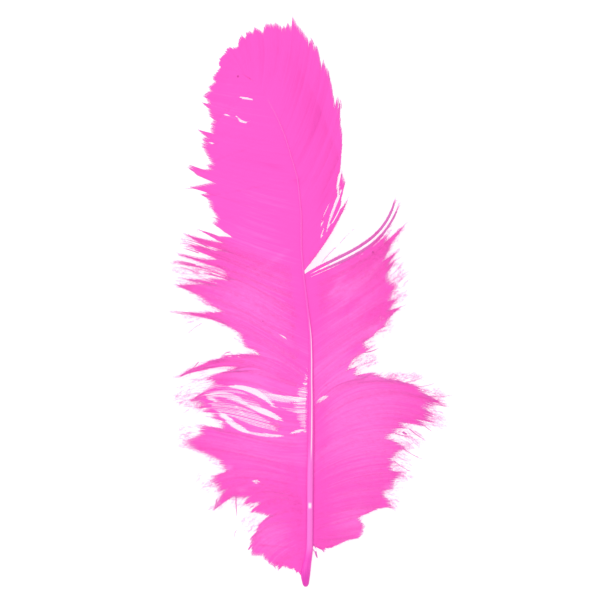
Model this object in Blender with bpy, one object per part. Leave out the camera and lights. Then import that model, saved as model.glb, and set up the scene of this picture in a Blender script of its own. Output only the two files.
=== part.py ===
"""A dyed turkey wing feather lying flat: a bent tapered shaft with locks of barbs fused down both sides."""

import math

import bmesh
import bpy
from mathutils import Vector
from mathutils.geometry import delaunay_2d_cdt

MM = 0.001

# Thickness of the vane, the height of the arch across each lock, how far the roots run past the middle
# of the shaft, and the distance at which two spots of the plan become one
VANE_THICK = 0.00064
LOCK_ARCH = 0.0005
ROOT_PAST = 0.0002
PLAN_MERGE = 0.0001

# The distance at which two spots of a finished surface become one, and the sides and height of a cutter
MERGE = 0.000001
HOLE_SIDES = 8
CUTTER_HEIGHT = 0.02

# The shaft from the stem's end to the tip, in millimetres: along, across, height of its middle, radius
SHAFT = (
    (-79.85, -1.0, 1.22, 0.40),
    (-79.3, -1.05, 1.22, 0.84),
    (-78.2, -1.1, 1.24, 1.08),
    (-76.4, -1.2, 1.3, 1.36),
    (-74.8, -0.95, 1.4, 1.32),
    (-72.6, -0.5, 1.6, 1.12),
    (-69.2, 0.0, 2.0, 1.02),
    (-64.0, 0.08, 2.5, 1.02),
    (-58.5, 0.1, 3.0, 1.0),
    (-50.1, 0.1, 3.6, 0.9),
    (-38.9, 0.25, 4.1, 0.78),
    (-27.7, 0.5, 4.5, 0.66),
    (-16.5, 0.5, 4.7, 0.56),
    (-9.8, 0.3, 4.8, 0.53),
    (-3.0, -0.4, 4.8, 0.5),
    (6.7, -1.6, 4.7, 0.48),
    (14.6, -2.3, 4.5, 0.47),
    (24.2, -2.3, 4.2, 0.46),
    (33.9, -3.3, 3.7, 0.45),
    (39.5, -4.9, 3.3, 0.45),
    (46.2, -6.9, 2.8, 0.44),
    (52.1, -9.4, 2.3, 0.43),
    (57.0, -12.1, 1.8, 0.42),
    (60.5, -14.3, 1.4, 0.42),
    (62.9, -17.1, 1.1, 0.41),
    (65.0, -21.5, 0.7, 0.38),
)
SHAFT_SIDES = 10

# How far the vane reaches from the shaft before it lies on the ground, along and across in millimetres
LEFT_REACH = ((-78, 6), (-66, 17), (-50, 26), (-38, 32), (-18, 33), (0, 34), (20, 30), (45, 24), (66, 12))
RIGHT_REACH = ((-72, 6), (-62, 16), (-48, 25), (-28, 34), (0, 25), (15, 25), (27, 14), (45, 12), (66, 12))

# Rows of every lock, as shares of a barb's length from the shaft to its tip
ROWS = (0.0, 0.14, 0.4, 0.7, 1.0)

# Each lock from the tip of the feather to its stem: where its first and last barbs leave the shaft, how
# far the barbs bulge towards the feather's tip near the shaft and near their ends, as shares of their
# length, how high the tips lift, and its free edge from the first barb's end to the last one's
LEFT_LOCKS = (
    (64.6, 60.0, 0.0, 0.0, 0.1, ((-24.7, 65.6), (-26.2, 63.9), (-27.2, 62.6), (-26.5, 61.3))),
    (60.0, 53.0, -0.02, -0.03, 0.2,
     ((-26.5, 61.3), (-28.2, 60.0), (-28.1, 58.9), (-29.8, 57.5), (-28.6, 56.2))),
    (53.0, 47.5, -0.02, -0.03, 0.3,
     ((-28.6, 56.2), (-28.5, 55.0), (-30.3, 55.6), (-28.6, 54.0), (-28.2, 52.6))),
    (47.5, 42.5, -0.03, -0.03, 0.1,
     ((-28.2, 52.6), (-28.0, 51.7), (-26.8, 50.8), (-27.6, 49.8), (-27.7, 47.0))),
    (42.5, 36.0, -0.04, -0.03, 0.3,
     ((-27.7, 47.0), (-31.2, 47.9), (-29.2, 46.0), (-30.2, 45.4), (-29.6, 44.6), (-30.2, 43.3), (-29.2, 41.3))),
    (36.0, 31.0, -0.05, -0.03, 0.2, ((-29.2, 41.3), (-27.6, 38.5), (-29.0, 38.1), (-28.2, 37.0))),
    (31.0, 26.0, -0.04, -0.04, 0.9,
     ((-28.2, 37.0), (-30.6, 36.7), (-33.6, 38.1), (-34.0, 37.2), (-31.5, 35.2), (-27.2, 33.3))),
    (26.0, 22.0, -0.03, 0.03, 0.5, ((-27.2, 33.3), (-33.6, 31.9), (-30.6, 31.2), (-28.9, 30.4))),
    (22.0, 17.0, -0.03, -0.02, 0.1,
     ((-28.9, 30.4), (-30.6, 29.8), (-28.8, 28.9), (-28.2, 27.2), (-28.4, 26.3), (-27.2, 25.0))),
    (17.0, 11.5, -0.03, -0.02, 0.2,
     ((-27.2, 25.0), (-26.1, 23.4), (-27.3, 21.8), (-24.8, 20.0), (-22.0, 18.0))),
    (11.5, 8.8, -0.03, -0.01, 0.6, ((-22.0, 18.0), (-26.4, 18.1), (-31.3, 20.1), (-24.4, 16.2))),
    (8.8, 6.0, -0.03, -0.01, 0.9, ((-24.4, 16.2), (-27.6, 16.7), (-34.3, 18.4), (-29.2, 15.4), (-23.7, 13.9))),
    (6.0, 2.5, -0.03, 0.0, 0.7, ((-23.7, 13.9), (-29.4, 14.5), (-35.2, 17.2), (-32.2, 14.3), (-26.2, 11.9))),
    (2.5, -0.5, -0.03, 0.03, 1.0, ((-26.2, 11.9), (-29.8, 11.5), (-36.2, 12.9), (-30.8, 10.7), (-27.5, 9.9))),
    (-0.5, -3.9, -0.03, 0.08, 0.8, ((-27.5, 9.9), (-32.0, 9.8), (-37.2, 11.0), (-31.6, 8.9), (-25.0, 7.9))),
    (-3.9, -9.0, -0.03, 0.08, 0.5,
     ((-25.0, 7.9), (-29.0, 7.6), (-22.0, 6.2), (-34.0, 6.0), (-26.5, 4.3))),
    (-9.0, -12.5, -0.02, 0.08, 1.2, ((-26.5, 4.3), (-31.3, 4.8), (-37.3, 4.4), (-34.2, 3.1), (-31.5, 1.7))),
    (-12.5, -16.0, -0.02, 0.08, 0.6,
     ((-31.5, 1.7), (-29.5, 0.2), (-28.2, -1.0), (-26.0, -1.9), (-25.1, -3.0))),
    (-16.0, -18.3, -0.02, 0.14, 0.6, ((-25.1, -3.0), (-31.8, -3.3), (-38.6, -2.9), (-31.4, -4.2), (-25.5, -5.2))),
    (-18.3, -21.0, 0.0, 0.1, 0.4, ((-25.5, -5.2), (-22.5, -7.2), (-20.2, -8.4), (-19.2, -10.2))),
    (-21.0, -22.6, 0.02, 0.07, 0.3, ((-19.2, -10.2), (-18.2, -12.6), (-15.8, -13.4), (-14.2, -15.2))),
    (-22.6, -24.4, 0.06, 0.2, 1.8,
     ((-14.2, -15.2), (-19.0, -14.9), (-24.0, -15.4), (-26.5, -16.6), (-31.0, -17.3), (-33.8, -19.0),
      (-36.6, -21.2), (-33.0, -19.4), (-29.0, -18.4))),
    (-24.4, -27.0, -0.04, 0.16, 1.2, ((-20.2, -19.4), (-27.6, -20.6), (-29.6, -22.8), (-26.6, -22.4))),
    (-27.0, -29.0, -0.06, 0.2, 1.0, ((-26.6, -22.4), (-29.4, -24.9), (-32.2, -27.2), (-31.0, -27.6))),
    (-29.0, -31.5, -0.08, 0.14, 0.6, ((-31.0, -27.6), (-33.2, -27.8), (-30.6, -29.0))),
    (-31.5, -33.6, -0.08, 0.1, 0.8, ((-30.6, -29.0), (-31.4, -29.9), (-28.6, -29.8))),
    (-33.6, -35.4, -0.09, 0.08, 0.4, ((-28.6, -29.8), (-29.8, -30.9), (-27.0, -31.2))),
    (-35.4, -37.0, -0.1, 0.04, 0.6, ((-27.0, -31.2), (-27.6, -32.4), (-24.6, -33.4))),
    (-37.0, -41.0, -0.14, -0.02, 0.8,
     ((-24.6, -33.4), (-25.0, -36.2), (-28.6, -35.0), (-30.5, -35.1), (-31.2, -37.4))),
    (-41.0, -46.5, -0.03, 0.04, 0.9, ((-31.2, -37.4), (-34.8, -39.2), (-33.4, -41.0))),
    (-46.5, -50.0, 0.0, 0.08, 0.5, ((-33.4, -41.0), (-29.8, -42.4), (-25.8, -44.4), (-23.6, -47.8))),
    (-50.0, -52.5, 0.02, 0.16, 1.0, ((-23.6, -47.8), (-26.6, -49.0), (-27.8, -50.6), (-25.9, -51.6))),
    (-52.5, -54.6, 0.04, 0.24, 0.4,
     ((-25.9, -51.6), (-26.0, -53.3), (-24.2, -53.2), (-26.8, -58.2), (-22.0, -54.8))),
    (-54.6, -56.0, 0.06, 0.26, 0.3, ((-22.0, -54.8), (-20.4, -55.2), (-17.3, -54.9))),
    (-56.0, -57.4, 0.06, 0.24, 0.6, ((-17.3, -54.9), (-18.7, -57.0), (-14.8, -56.3), (-14.2, -57.2))),
    (-57.4, -58.6, 0.08, 0.24, 0.2, ((-14.2, -57.2), (-16.6, -59.0), (-14.0, -59.4), (-10.8, -60.2))),
    (-58.6, -62.0, 0.1, 0.24, 0.7,
     ((-10.8, -60.2), (-13.2, -61.8), (-14.9, -63.9), (-14.6, -65.0), (-16.8, -66.8), (-16.2, -68.0))),
    (-62.0, -65.5, 0.12, 0.18, 0.4,
     ((-16.2, -68.0), (-17.0, -69.3), (-15.9, -69.8), (-16.4, -71.3), (-13.0, -71.2), (-12.1, -72.9))),
    (-65.5, -74.4, 0.12, 0.18, 0.2,
     ((-12.1, -72.9), (-9.8, -74.4), (-9.0, -74.0), (-8.6, -75.1), (-7.4, -74.0), (-5.8, -74.9), (-4.4, -74.9),
      (-2.3, -76.5))),
)
RIGHT_LOCKS = (
    (64.6, 63.6, 0.0, -0.06, 0.0, ((-24.9, 64.9), (-25.4, 66.4), (-25.2, 67.7), (-24.0, 69.1))),
    (63.6, 62.2, -0.02, -0.08, 0.1,
     ((-24.0, 69.1), (-22.7, 71.0), (-21.5, 70.9), (-20.1, 71.2), (-19.8, 73.5), (-18.9, 74.3), (-17.9, 73.6))),
    (62.2, 58.8, -0.03, -0.08, 0.2,
     ((-17.9, 73.6), (-17.7, 75.1), (-17.0, 75.6), (-15.9, 75.2), (-15.5, 76.6), (-14.2, 76.0), (-13.1, 75.0))),
    (58.8, 56.0, -0.04, -0.08, 0.2,
     ((-13.1, 75.0), (-12.7, 76.9), (-12.0, 77.8), (-10.0, 77.4), (-9.3, 77.9), (-8.3, 77.2))),
    (56.0, 51.5, -0.05, -0.08, 0.1,
     ((-8.3, 77.2), (-7.6, 76.2), (-7.2, 77.2), (-6.7, 76.3), (-6.2, 77.9), (-5.0, 76.8), (-4.7, 79.85),
      (-3.7, 77.6))),
    (51.5, 46.0, -0.05, -0.07, 0.0, ((-3.7, 77.6), (-2.2, 75.9), (-1.0, 74.2), (0.1, 72.3))),
    (46.0, 41.0, -0.05, -0.06, 0.1,
     ((0.1, 72.3), (0.5, 73.6), (1.3, 71.3), (2.0, 71.5), (2.6, 69.5), (3.1, 67.5))),
    (41.0, 35.5, -0.05, -0.06, 0.2,
     ((3.1, 67.5), (3.6, 65.5), (3.9, 67.5), (4.5, 65.7), (5.1, 65.1), (5.8, 62.6))),
    (35.5, 30.0, -0.05, -0.07, 0.1, ((5.8, 62.6), (6.4, 59.5), (6.9, 56.0), (7.3, 54.7))),
    (30.0, 26.0, -0.05, -0.07, 0.3, ((7.3, 54.7), (7.8, 57.2), (8.1, 53.6), (8.6, 56.0), (8.6, 52.0))),
    (26.0, 20.5, -0.05, -0.08, 0.1, ((8.6, 52.0), (8.7, 49.6), (9.1, 47.8), (9.1, 43.5))),
    (20.5, 14.5, -0.05, -0.08, 0.1, ((9.1, 43.5), (8.8, 39.0), (8.6, 36.4), (7.9, 33.5), (7.6, 30.0))),
    (14.5, 11.0, -0.04, -0.1, 0.5, ((8.8, 34.5), (9.2, 36.0), (9.9, 33.0), (8.6, 27.4))),
    (11.0, 8.0, -0.03, -0.05, 0.8, ((8.5, 25.6), (10.2, 27.4), (8.0, 22.9))),
    (7.2, 6.4, -0.02, -0.22, 1.0, ((23.4, 27.1), (23.9, 28.1), (23.8, 27.0))),
    (6.7, 5.7, -0.05, -0.26, 0.6, ((24.0, 24.9), (24.6, 25.9), (24.2, 24.6))),
    (5.9, 0.0, -0.05, -0.1, 0.4, ((21.7, 19.8), (21.9, 18.6), (21.7, 16.9), (26.0, 20.6), (21.2, 13.4))),
    (0.0, -4.5, -0.03, -0.05, 0.3, ((21.2, 13.4), (22.4, 15.0), (21.2, 11.6), (24.1, 13.5), (21.9, 9.6))),
    (-4.5, -9.0, 0.0, -0.02, 0.2, ((21.9, 9.6), (23.7, 11.2), (22.1, 8.0), (22.5, 6.0))),
    (-9.0, -14.0, 0.02, 0.0, 0.5, ((22.5, 6.0), (24.6, 4.8), (23.3, 2.2), (22.9, 0.6))),
    (-14.0, -18.0, 0.03, 0.02, 0.3, ((22.9, 0.6), (24.5, 0.6), (22.3, -2.6), (25.1, -1.8), (22.7, -4.3))),
    (-18.0, -22.0, 0.04, 0.03, 0.1, ((22.7, -4.3), (20.9, -7.1), (19.0, -8.2), (17.8, -9.8))),
    (-22.0, -25.0, 0.05, 0.04, 0.4,
     ((17.8, -9.8), (15.3, -10.7), (15.6, -12.3), (16.9, -13.3), (14.5, -14.3))),
    (-25.0, -28.0, 0.06, 0.05, 0.1, ((14.5, -14.3), (12.4, -15.9), (10.4, -19.4))),
    (-28.0, -30.9, 0.12, 0.06, 0.9, ((10.4, -19.4), (13.3, -18.2), (12.8, -20.6))),
    (-30.9, -33.6, 0.26, 0.2, 1.6,
     ((12.8, -20.6), (15.4, -21.2), (17.9, -20.1), (20.3, -21.2), (21.9, -22.0), (24.9, -22.4), (28.5, -23.4))),
    (-33.6, -36.5, 0.27, 0.24, 1.2,
     ((28.5, -23.4), (31.2, -24.5), (33.6, -27.0), (38.7, -29.4), (34.0, -28.6))),
    (-36.5, -39.5, 0.24, 0.22, 0.8,
     ((34.0, -28.6), (34.9, -29.2), (33.0, -30.3), (34.6, -32.3), (33.2, -32.8))),
    (-39.5, -42.0, 0.19, 0.19, 0.5,
     ((33.2, -32.8), (33.9, -33.8), (31.6, -33.4), (32.2, -34.9), (29.2, -34.3))),
    (-42.0, -44.5, 0.18, 0.17, 0.4,
     ((29.2, -34.3), (27.0, -33.9), (26.2, -34.3), (26.9, -35.6), (24.9, -35.5))),
    (-44.5, -46.5, 0.16, 0.14, 0.2, ((24.9, -35.5), (24.2, -36.7), (22.6, -37.1), (21.9, -38.5))),
    (-46.5, -50.0, 0.14, 0.12, 0.7,
     ((21.9, -38.5), (23.5, -39.0), (25.2, -39.7), (27.3, -41.3), (25.3, -41.9), (24.5, -43.0))),
    (-50.0, -53.5, 0.12, 0.1, 0.3, ((24.5, -43.0), (23.0, -44.0), (23.9, -45.0), (23.0, -46.3))),
    (-53.5, -57.5, 0.1, 0.1, 0.6,
     ((23.0, -46.3), (24.0, -47.8), (26.3, -47.9), (25.3, -49.2), (24.1, -49.9), (23.6, -52.4))),
    (-57.5, -61.5, 0.08, 0.1, 0.4,
     ((23.6, -52.4), (21.1, -53.0), (21.2, -54.3), (22.6, -55.9), (23.0, -57.6), (20.4, -57.8))),
    (-61.5, -64.5, 0.05, 0.06, 0.2, ((20.4, -57.8), (17.6, -58.7), (16.0, -59.5), (14.1, -60.0))),
    (-64.5, -66.0, 0.0, -0.06, 0.5, ((14.1, -60.0), (14.2, -60.9), (15.3, -62.6), (15.1, -64.2))),
    (-66.0, -66.9, 0.0, -0.05, 0.4, ((15.1, -64.2), (14.6, -65.5), (13.6, -66.4))),
    (-66.9, -67.8, 0.03, 0.02, 0.1,
     ((13.6, -66.4), (11.4, -66.6), (9.0, -67.6), (6.5, -68.9), (4.6, -69.1), (4.0, -69.8), (3.5, -68.9),
      (2.3, -68.3))),
)

# Torn openings inside the vane, in millimetres: middle across and along, half length, half width, turn
HOLES = (
    (-17.6, 56.6, 1.95, 0.34, -11),
    (-23.2, 52.0, 0.95, 0.3, -16),
    (-18.6, 50.3, 1.8, 0.42, -24),
    (-27.4, 44.2, 0.6, 0.25, 0),
    (3.7, -27.4, 1.6, 0.4, 28),
    (-14.8, -50.7, 0.7, 0.42, 0),
    (-7.3, -9.9, 1.1, 0.3, -32),
    (-14.3, -26.9, 8.0, 0.85, -24),
    (-8.6, -26.5, 3.6, 0.7, -13),
    (-12.2, -31.5, 4.7, 0.85, -22),
    (-20.7, -34.3, 4.4, 0.8, -34),
    (-3.4, -36.4, 1.5, 0.35, 15),
    (-27.4, -27.2, 2.0, 0.6, -30),
    (8.4, 32.7, 3.0, 0.45, 88),
    (6.6, 23.9, 4.6, 0.3, 69),
)


def between(table, y):
    """The values of a table at y, which is its first column, in straight lines between its rows."""
    rows = sorted(table)
    if y <= rows[0][0]:
        return rows[0][1:]
    for low, high in zip(rows, rows[1:]):
        if y <= high[0]:
            t = (y - low[0]) / (high[0] - low[0])
            return tuple(a + (b - a) * t for a, b in zip(low[1:], high[1:]))
    return rows[-1][1:]


def ground_height(x, y):
    """Height of the vane's middle over a spot, in millimetres: it slopes from the shaft to the ground."""
    best, along, right = 1e9, 0.0, False
    for (y0, x0, *_), (y1, x1, *_) in zip(SHAFT, SHAFT[1:]):
        dx, dy = x1 - x0, y1 - y0
        t = min(1.0, max(0.0, ((x - x0) * dx + (y - y0) * dy) / (dx * dx + dy * dy)))
        away = math.hypot(x - x0 - t * dx, y - y0 - t * dy)
        if away < best:
            best, along, right = away, y0 + t * dy, (x - x0) * dy > (y - y0) * dx
    reach = between(RIGHT_REACH if right else LEFT_REACH, along)[0]
    low = VANE_THICK / MM / 2
    return low + (between(SHAFT, along)[1] - low) * (1 - min(1.0, best / reach) ** 2)


def barb(root, tip, near, far, s, right):
    """A spot on the barb from root to tip, at the share s of its length, as x and y in millimetres."""
    cx, cy = tip[0] - root[0], tip[1] - root[1]
    nx, ny = (-cy, cx) if right else (cy, -cx)
    a, b, c = 3 * s * (1 - s) ** 2, 3 * s * s * (1 - s), s**3
    on = a / 3 + 2 * b / 3 + c
    off = a * near + b * far
    return root[0] + cx * on + nx * off, root[1] + cy * on + ny * off


def edge_barb(locks, i, last, right):
    """The first or last barb of lock i: its root, its end and its bulges, shared with a joined neighbour."""
    lock = locks[i]
    y = lock[1] if last else lock[0]
    j = i + 1 if last else i - 1
    joined = 0 <= j < len(locks) and locks[j][0 if last else 1] == y
    beside = locks[j] if joined else lock
    bulges = [(v + w) / 2 for v, w in zip(lock[2:5], beside[2:5])]
    x = between(SHAFT, y)[0] + (-ROOT_PAST if right else ROOT_PAST) / MM
    return (x, y), lock[5][-1 if last else 0], bulges


def side_offset(edge_barb, x, y, right):
    """How far a spot lies to the stem's side of the line that a barb's end points along."""
    root, tip, (near, far, _) = edge_barb
    bx, by = barb(root, tip, near, far, 0.9, right)
    tx, ty = tip[0] - bx, tip[1] - by
    off = (tx * (y - tip[1]) - ty * (x - tip[0])) / math.hypot(tx, ty)
    return -off if right else off


def lock_barbs(locks, i, right):
    """The barbs that lock i is shaped by, one to each spot of its edge.

    Each is a list of spots: x, y and the height over the vane's slope, in millimetres.
    """
    edge, lift = locks[i][5], locks[i][4]
    first, last = edge_barb(locks, i, False, right), edge_barb(locks, i, True, right)
    step = 0.3 / (len(edge) - 1)
    barbs, u = [], -step
    for n, tip in enumerate(edge):
        after, before = side_offset(first, *tip, right), -side_offset(last, *tip, right)
        found = n / (len(edge) - 1) if n in (0, len(edge) - 1) else after / max(0.01, after + before)
        u = min(1.0 - step * (len(edge) - 1 - n), max(u + step, found))
        root, (near, far, side) = (
            [v + (w - v) * u for v, w in zip(first[k], last[k])] for k in (0, 2))
        rise = side + (lift - side) * 2 * min(u, 1 - u)
        arch = LOCK_ARCH / MM * 4 * u * (1 - u)
        barbs.append([
            (*barb(root, tip, near, far, s, right), rise * s**3 + arch * s * (1 - 0.4 * s)) for s in ROWS])
    return barbs


def vane():
    """The vane as one closed sheet: the outlines of its locks, filled with faces along their barbs."""
    spots, lines, outlines = [], [], []
    for locks, right in ((LEFT_LOCKS, False), (RIGHT_LOCKS, True)):
        for i, lock in enumerate(locks):
            if i == 0 or locks[i - 1][1] != lock[0]:
                outlines.append([])
                run = []
            for line in lock_barbs(locks, i, right):
                start = len(spots)
                spots += line
                run.append(range(start, start + len(line)))
                lines += zip(run[-1], run[-1][1:])
            if i == len(locks) - 1 or locks[i + 1][0] != lock[1]:
                around = [*run[0], *(line[-1] for line in run[1:]), *reversed(run[-1][:-1])]
                around += [line[0] for line in reversed(run[:-1])][:-1]
                outlines[-1] = around if right is False else around[::-1]
    flat = [Vector(spot[:2]) for spot in spots]
    points, _, faces, sources, _, inside = delaunay_2d_cdt(flat, lines, outlines, 1, PLAN_MERGE / MM)
    bm = bmesh.new()
    for point, found in zip(points, sources):
        if found:
            extra = sum(spots[k][2] for k in found) / len(found)
        else:
            extra = min(spots, key=lambda spot: math.hypot(spot[0] - point.x, spot[1] - point.y))[2]
        bm.verts.new(Vector((point.x, point.y, ground_height(*point) + extra)) * MM)
    bm.verts.ensure_lookup_table()
    for face, outline in zip(faces, inside):
        if outline:
            bm.faces.new([bm.verts[k] for k in face])
    bmesh.ops.delete(bm, geom=[v for v in bm.verts if not v.link_faces], context="VERTS")
    bmesh.ops.dissolve_degenerate(bm, dist=PLAN_MERGE, edges=bm.edges)
    raised = bmesh.ops.extrude_face_region(bm, geom=bm.faces[:], use_keep_orig=True)
    top = [v for v in raised["geom"] if isinstance(v, bmesh.types.BMVert)]
    bmesh.ops.translate(bm, verts=top, vec=(0, 0, VANE_THICK / 2))
    bmesh.ops.translate(bm, verts=list(set(bm.verts) - set(top)), vec=(0, 0, -VANE_THICK / 2))
    mesh = bpy.data.meshes.new("vane")
    bm.to_mesh(mesh)
    bm.free()
    ob = bpy.data.objects.new("vane", mesh)
    bpy.context.scene.collection.objects.link(ob)
    return ob


def shaft():
    """The tapered shaft: a curve with a round section, as a closed mesh."""
    curve = bpy.data.curves.new("shaft", "CURVE")
    curve.dimensions = "3D"
    curve.bevel_depth = MM
    curve.bevel_resolution = (SHAFT_SIDES - 4) // 2
    curve.use_fill_caps = True
    spline = curve.splines.new("POLY")
    spline.points.add(len(SHAFT) - 1)
    for point, (y, x, z, radius) in zip(spline.points, SHAFT):
        point.co = (x * MM, y * MM, z * MM, 1.0)
        point.radius = radius
    ob = bpy.data.objects.new("shaft", curve)
    bpy.context.scene.collection.objects.link(ob)
    return ob


def as_mesh(ob):
    """A new object with ob's shape, modifiers done, as a mesh whose doubled spots are merged."""
    shape = ob.evaluated_get(bpy.context.evaluated_depsgraph_get())
    mesh = bpy.data.meshes.new_from_object(shape)
    bm = bmesh.new()
    bm.from_mesh(mesh)
    bmesh.ops.remove_doubles(bm, verts=bm.verts, dist=MERGE)
    bmesh.ops.recalc_face_normals(bm, faces=bm.faces)
    bm.to_mesh(mesh)
    bm.free()
    done = bpy.data.objects.new(ob.name + "_mesh", mesh)
    bpy.context.scene.collection.objects.link(done)
    bpy.data.objects.remove(ob)
    return done


def hole_cutter(n, x, y, half, wide, turn):
    """A lens-shaped cutter through the vane."""
    bpy.ops.mesh.primitive_cylinder_add(
        vertices=HOLE_SIDES, radius=MM, depth=CUTTER_HEIGHT, location=(x * MM, y * MM, 0.0))
    ob = bpy.context.object
    ob.name = f"hole_cutter_{n}"
    ob.scale = (half, wide, 1.0)
    ob.rotation_euler = (0, 0, math.radians(turn))
    move_to(ob, collection("cutters"))
    ob.display_type = "WIRE"
    ob.hide_render = True
    return ob


def collection(name):
    """The collection of this name, made when there is none."""
    found = bpy.data.collections.get(name)
    if not found:
        found = bpy.data.collections.new(name)
        bpy.context.scene.collection.children.link(found)
    return found


def move_to(ob, where):
    """Links ob to one collection alone."""
    for other in list(ob.users_collection):
        other.objects.unlink(ob)
    where.objects.link(ob)


def boolean(ob, other, operation):
    """Joins other to ob, or cuts it from ob, and removes other."""
    step = ob.modifiers.new(operation.lower(), "BOOLEAN")
    step.solver = "EXACT"
    step.operation = operation
    step.object = other
    mesh = bpy.data.meshes.new_from_object(ob.evaluated_get(bpy.context.evaluated_depsgraph_get()))
    ob.modifiers.clear()
    ob.data = mesh
    bpy.data.objects.remove(other)


def dyed_keratin():
    """The feather's material: keratin dyed a bright pink."""
    mat = bpy.data.materials.new("dyed feather")
    mat.use_nodes = True
    shader = mat.node_tree.nodes["Principled BSDF"]
    shader.inputs["Base Color"].default_value = (1.0, 0.112, 0.624, 1.0)
    shader.inputs["Roughness"].default_value = 0.6
    return mat


def main():
    for ob in list(bpy.data.objects):
        bpy.data.objects.remove(ob)
    feather = as_mesh(shaft())
    boolean(feather, as_mesh(vane()), "UNION")
    for n, hole in enumerate(HOLES):
        boolean(feather, hole_cutter(n, *hole), "DIFFERENCE")
    bm = bmesh.new()
    bm.from_mesh(feather.data)
    bmesh.ops.dissolve_degenerate(bm, dist=MERGE, edges=bm.edges)
    bmesh.ops.triangulate(bm, faces=bm.faces)
    bmesh.ops.translate(bm, verts=bm.verts, vec=(0, 0, -min(v.co.z for v in bm.verts)))
    bm.to_mesh(feather.data)
    bm.free()
    feather.name = feather.data.name = "feather"
    move_to(feather, collection("turkey_wing_feather"))
    feather.data.materials.clear()
    feather.data.materials.append(dyed_keratin())


main()
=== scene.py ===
"""A bright pink dyed turkey wing feather lying on a pale surface, seen from straight above."""

import math

import bmesh
import bpy
import numpy as np
from mathutils import Matrix, Vector


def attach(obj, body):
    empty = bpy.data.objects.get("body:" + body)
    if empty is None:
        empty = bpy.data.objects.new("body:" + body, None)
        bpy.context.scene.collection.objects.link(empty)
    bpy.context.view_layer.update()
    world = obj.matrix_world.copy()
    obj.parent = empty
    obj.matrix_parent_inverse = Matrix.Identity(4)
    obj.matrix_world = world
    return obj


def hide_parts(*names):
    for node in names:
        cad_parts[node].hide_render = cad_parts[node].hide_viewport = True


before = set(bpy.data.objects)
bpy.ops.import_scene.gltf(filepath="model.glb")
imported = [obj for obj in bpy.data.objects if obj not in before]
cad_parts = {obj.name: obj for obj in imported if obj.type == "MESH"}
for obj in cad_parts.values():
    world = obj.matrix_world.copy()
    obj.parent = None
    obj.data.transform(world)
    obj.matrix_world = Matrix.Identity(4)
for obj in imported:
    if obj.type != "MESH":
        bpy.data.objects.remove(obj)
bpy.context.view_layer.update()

# Shaft
# The feather's stem: a hollow quill at the bottom that turns into a solid, pith-filled, tapering shaft.
# It grew in one piece with the vane, is bent towards the left at the tip, and took less dye along its
# top. A painted highlight brightens that pale line in its lower half, and painted shade darkens its sides.

MM = 0.001

# Along, across, height of the middle and radius, in millimetres, from the stem's end to the tip
SHAFT = np.array((
    (-79.85, -1, 1.22, 0.4),
    (-79.3, -1.05, 1.22, 0.84),
    (-78.2, -1.1, 1.24, 1.08),
    (-76.4, -1.2, 1.3, 1.36),
    (-74.8, -0.95, 1.4, 1.32),
    (-72.6, -0.5, 1.6, 1.12),
    (-69.2, 0, 2, 1.02),
    (-64, 0.08, 2.5, 1.02),
    (-58.5, 0.1, 3, 1),
    (-50.1, 0.1, 3.6, 0.9),
    (-38.9, 0.25, 4.1, 0.78),
    (-27.7, 0.5, 4.5, 0.66),
    (-16.5, 0.5, 4.7, 0.56),
    (-9.8, 0.3, 4.8, 0.53),
    (-3, -0.4, 4.8, 0.5),
    (6.7, -1.6, 4.7, 0.48),
    (14.6, -2.3, 4.5, 0.47),
    (24.2, -2.3, 4.2, 0.46),
    (33.9, -3.3, 3.7, 0.45),
    (39.5, -4.9, 3.3, 0.45),
    (46.2, -6.9, 2.8, 0.44),
    (52.1, -9.4, 2.3, 0.43),
    (57, -12.1, 1.8, 0.42),
    (60.5, -14.3, 1.4, 0.42),
    (62.9, -17.1, 1.1, 0.41),
    (65, -21.5, 0.7, 0.38),
))

# Sides of its tube, distance between rings, and places of the rings that round the stem's end
SHAFT_SIDES = 28
SHAFT_STEP = 0.6
ROUND_END = np.array([0.0, 0.08, 0.2, 0.38])

# What the tube adds to the table, by y: millimetres to the right and up, and its radius as a multiple
SHAFT_SHIFT = ((-58, 0.0), (-37, 0.1), (-22, -0.1), (-12, 0.0))
SHAFT_RAISE = ((-72, 0.0), (-58, 0.18), (-40, 0.3), (-20, 0.2), (0, 0.16), (48, 0.16), (61, -0.2))
SHAFT_SWELL = ((-60, 1.0), (-40, 1.2), (-20, 1.2), (0, 0.8), (45, 0.6), (58, 0.8))

# Rings on either side that smooth its course, and the spread of their weights
SMOOTH_RINGS, SMOOTH_SPREAD = 4, 2.0

SHAFT_ROUGH, SHAFT_COAT = 0.5, 0.1

# Colours of the dyed shaft from the stem's end upwards, with painted shade for its sides, and of the pale
# line on its top, which is partly a painted highlight
# Deep dye of the quill's end, also used as painted shade on the quill's sides
SOAKED_QUILL_AND_SIDE_SHADE = (0.66, 0.012, 0.40)
RED_QUILL = (0.88, 0.05, 0.53)
SHAFT_PINK = (0.95, 0.155, 0.65)
# Painted shade on the shaft's rounded sides
SHAFT_SIDE_SHADE = (0.80, 0.08, 0.49)
UPPER_SHAFT = (0.88, 0.082, 0.53)
# Paler keratin on the top, brightened as a painted highlight
PALE_HIGHLIGHT_LINE = (1.0, 0.80, 0.95)

# Stretches of y over which one look gives way to the next, and the middle of a pale spot
SIDE_SHADE_START = (-74.0, -66.0)
UPPER_START = (-46.0, -38.0)
QUILL_SHADE_END = (-60.0, -50.0)
LINE_START = (-45.5, -40.0)
LINE_END = (-11.0, -3.0)
RED_END = (-72.5, -67.5)
SOAKED_END = (-78.5, -73.5)
STREAKED_END = (-76.0, -69.0)
SPOT_PLACE = -57.0
SPOT_FADES = (0.3, 1.1)

# The same across the shaft, as shares of its radius
SIDE_SHADE_FROM = (0.45, 1.0)
QUILL_SHADE_FROM = (0.72, 1.0)
SPOT_SIDES = (0.2, 0.6)
LINE_PLACE = 0.22
LINE_FADES = (0.05, 0.3)

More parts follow.
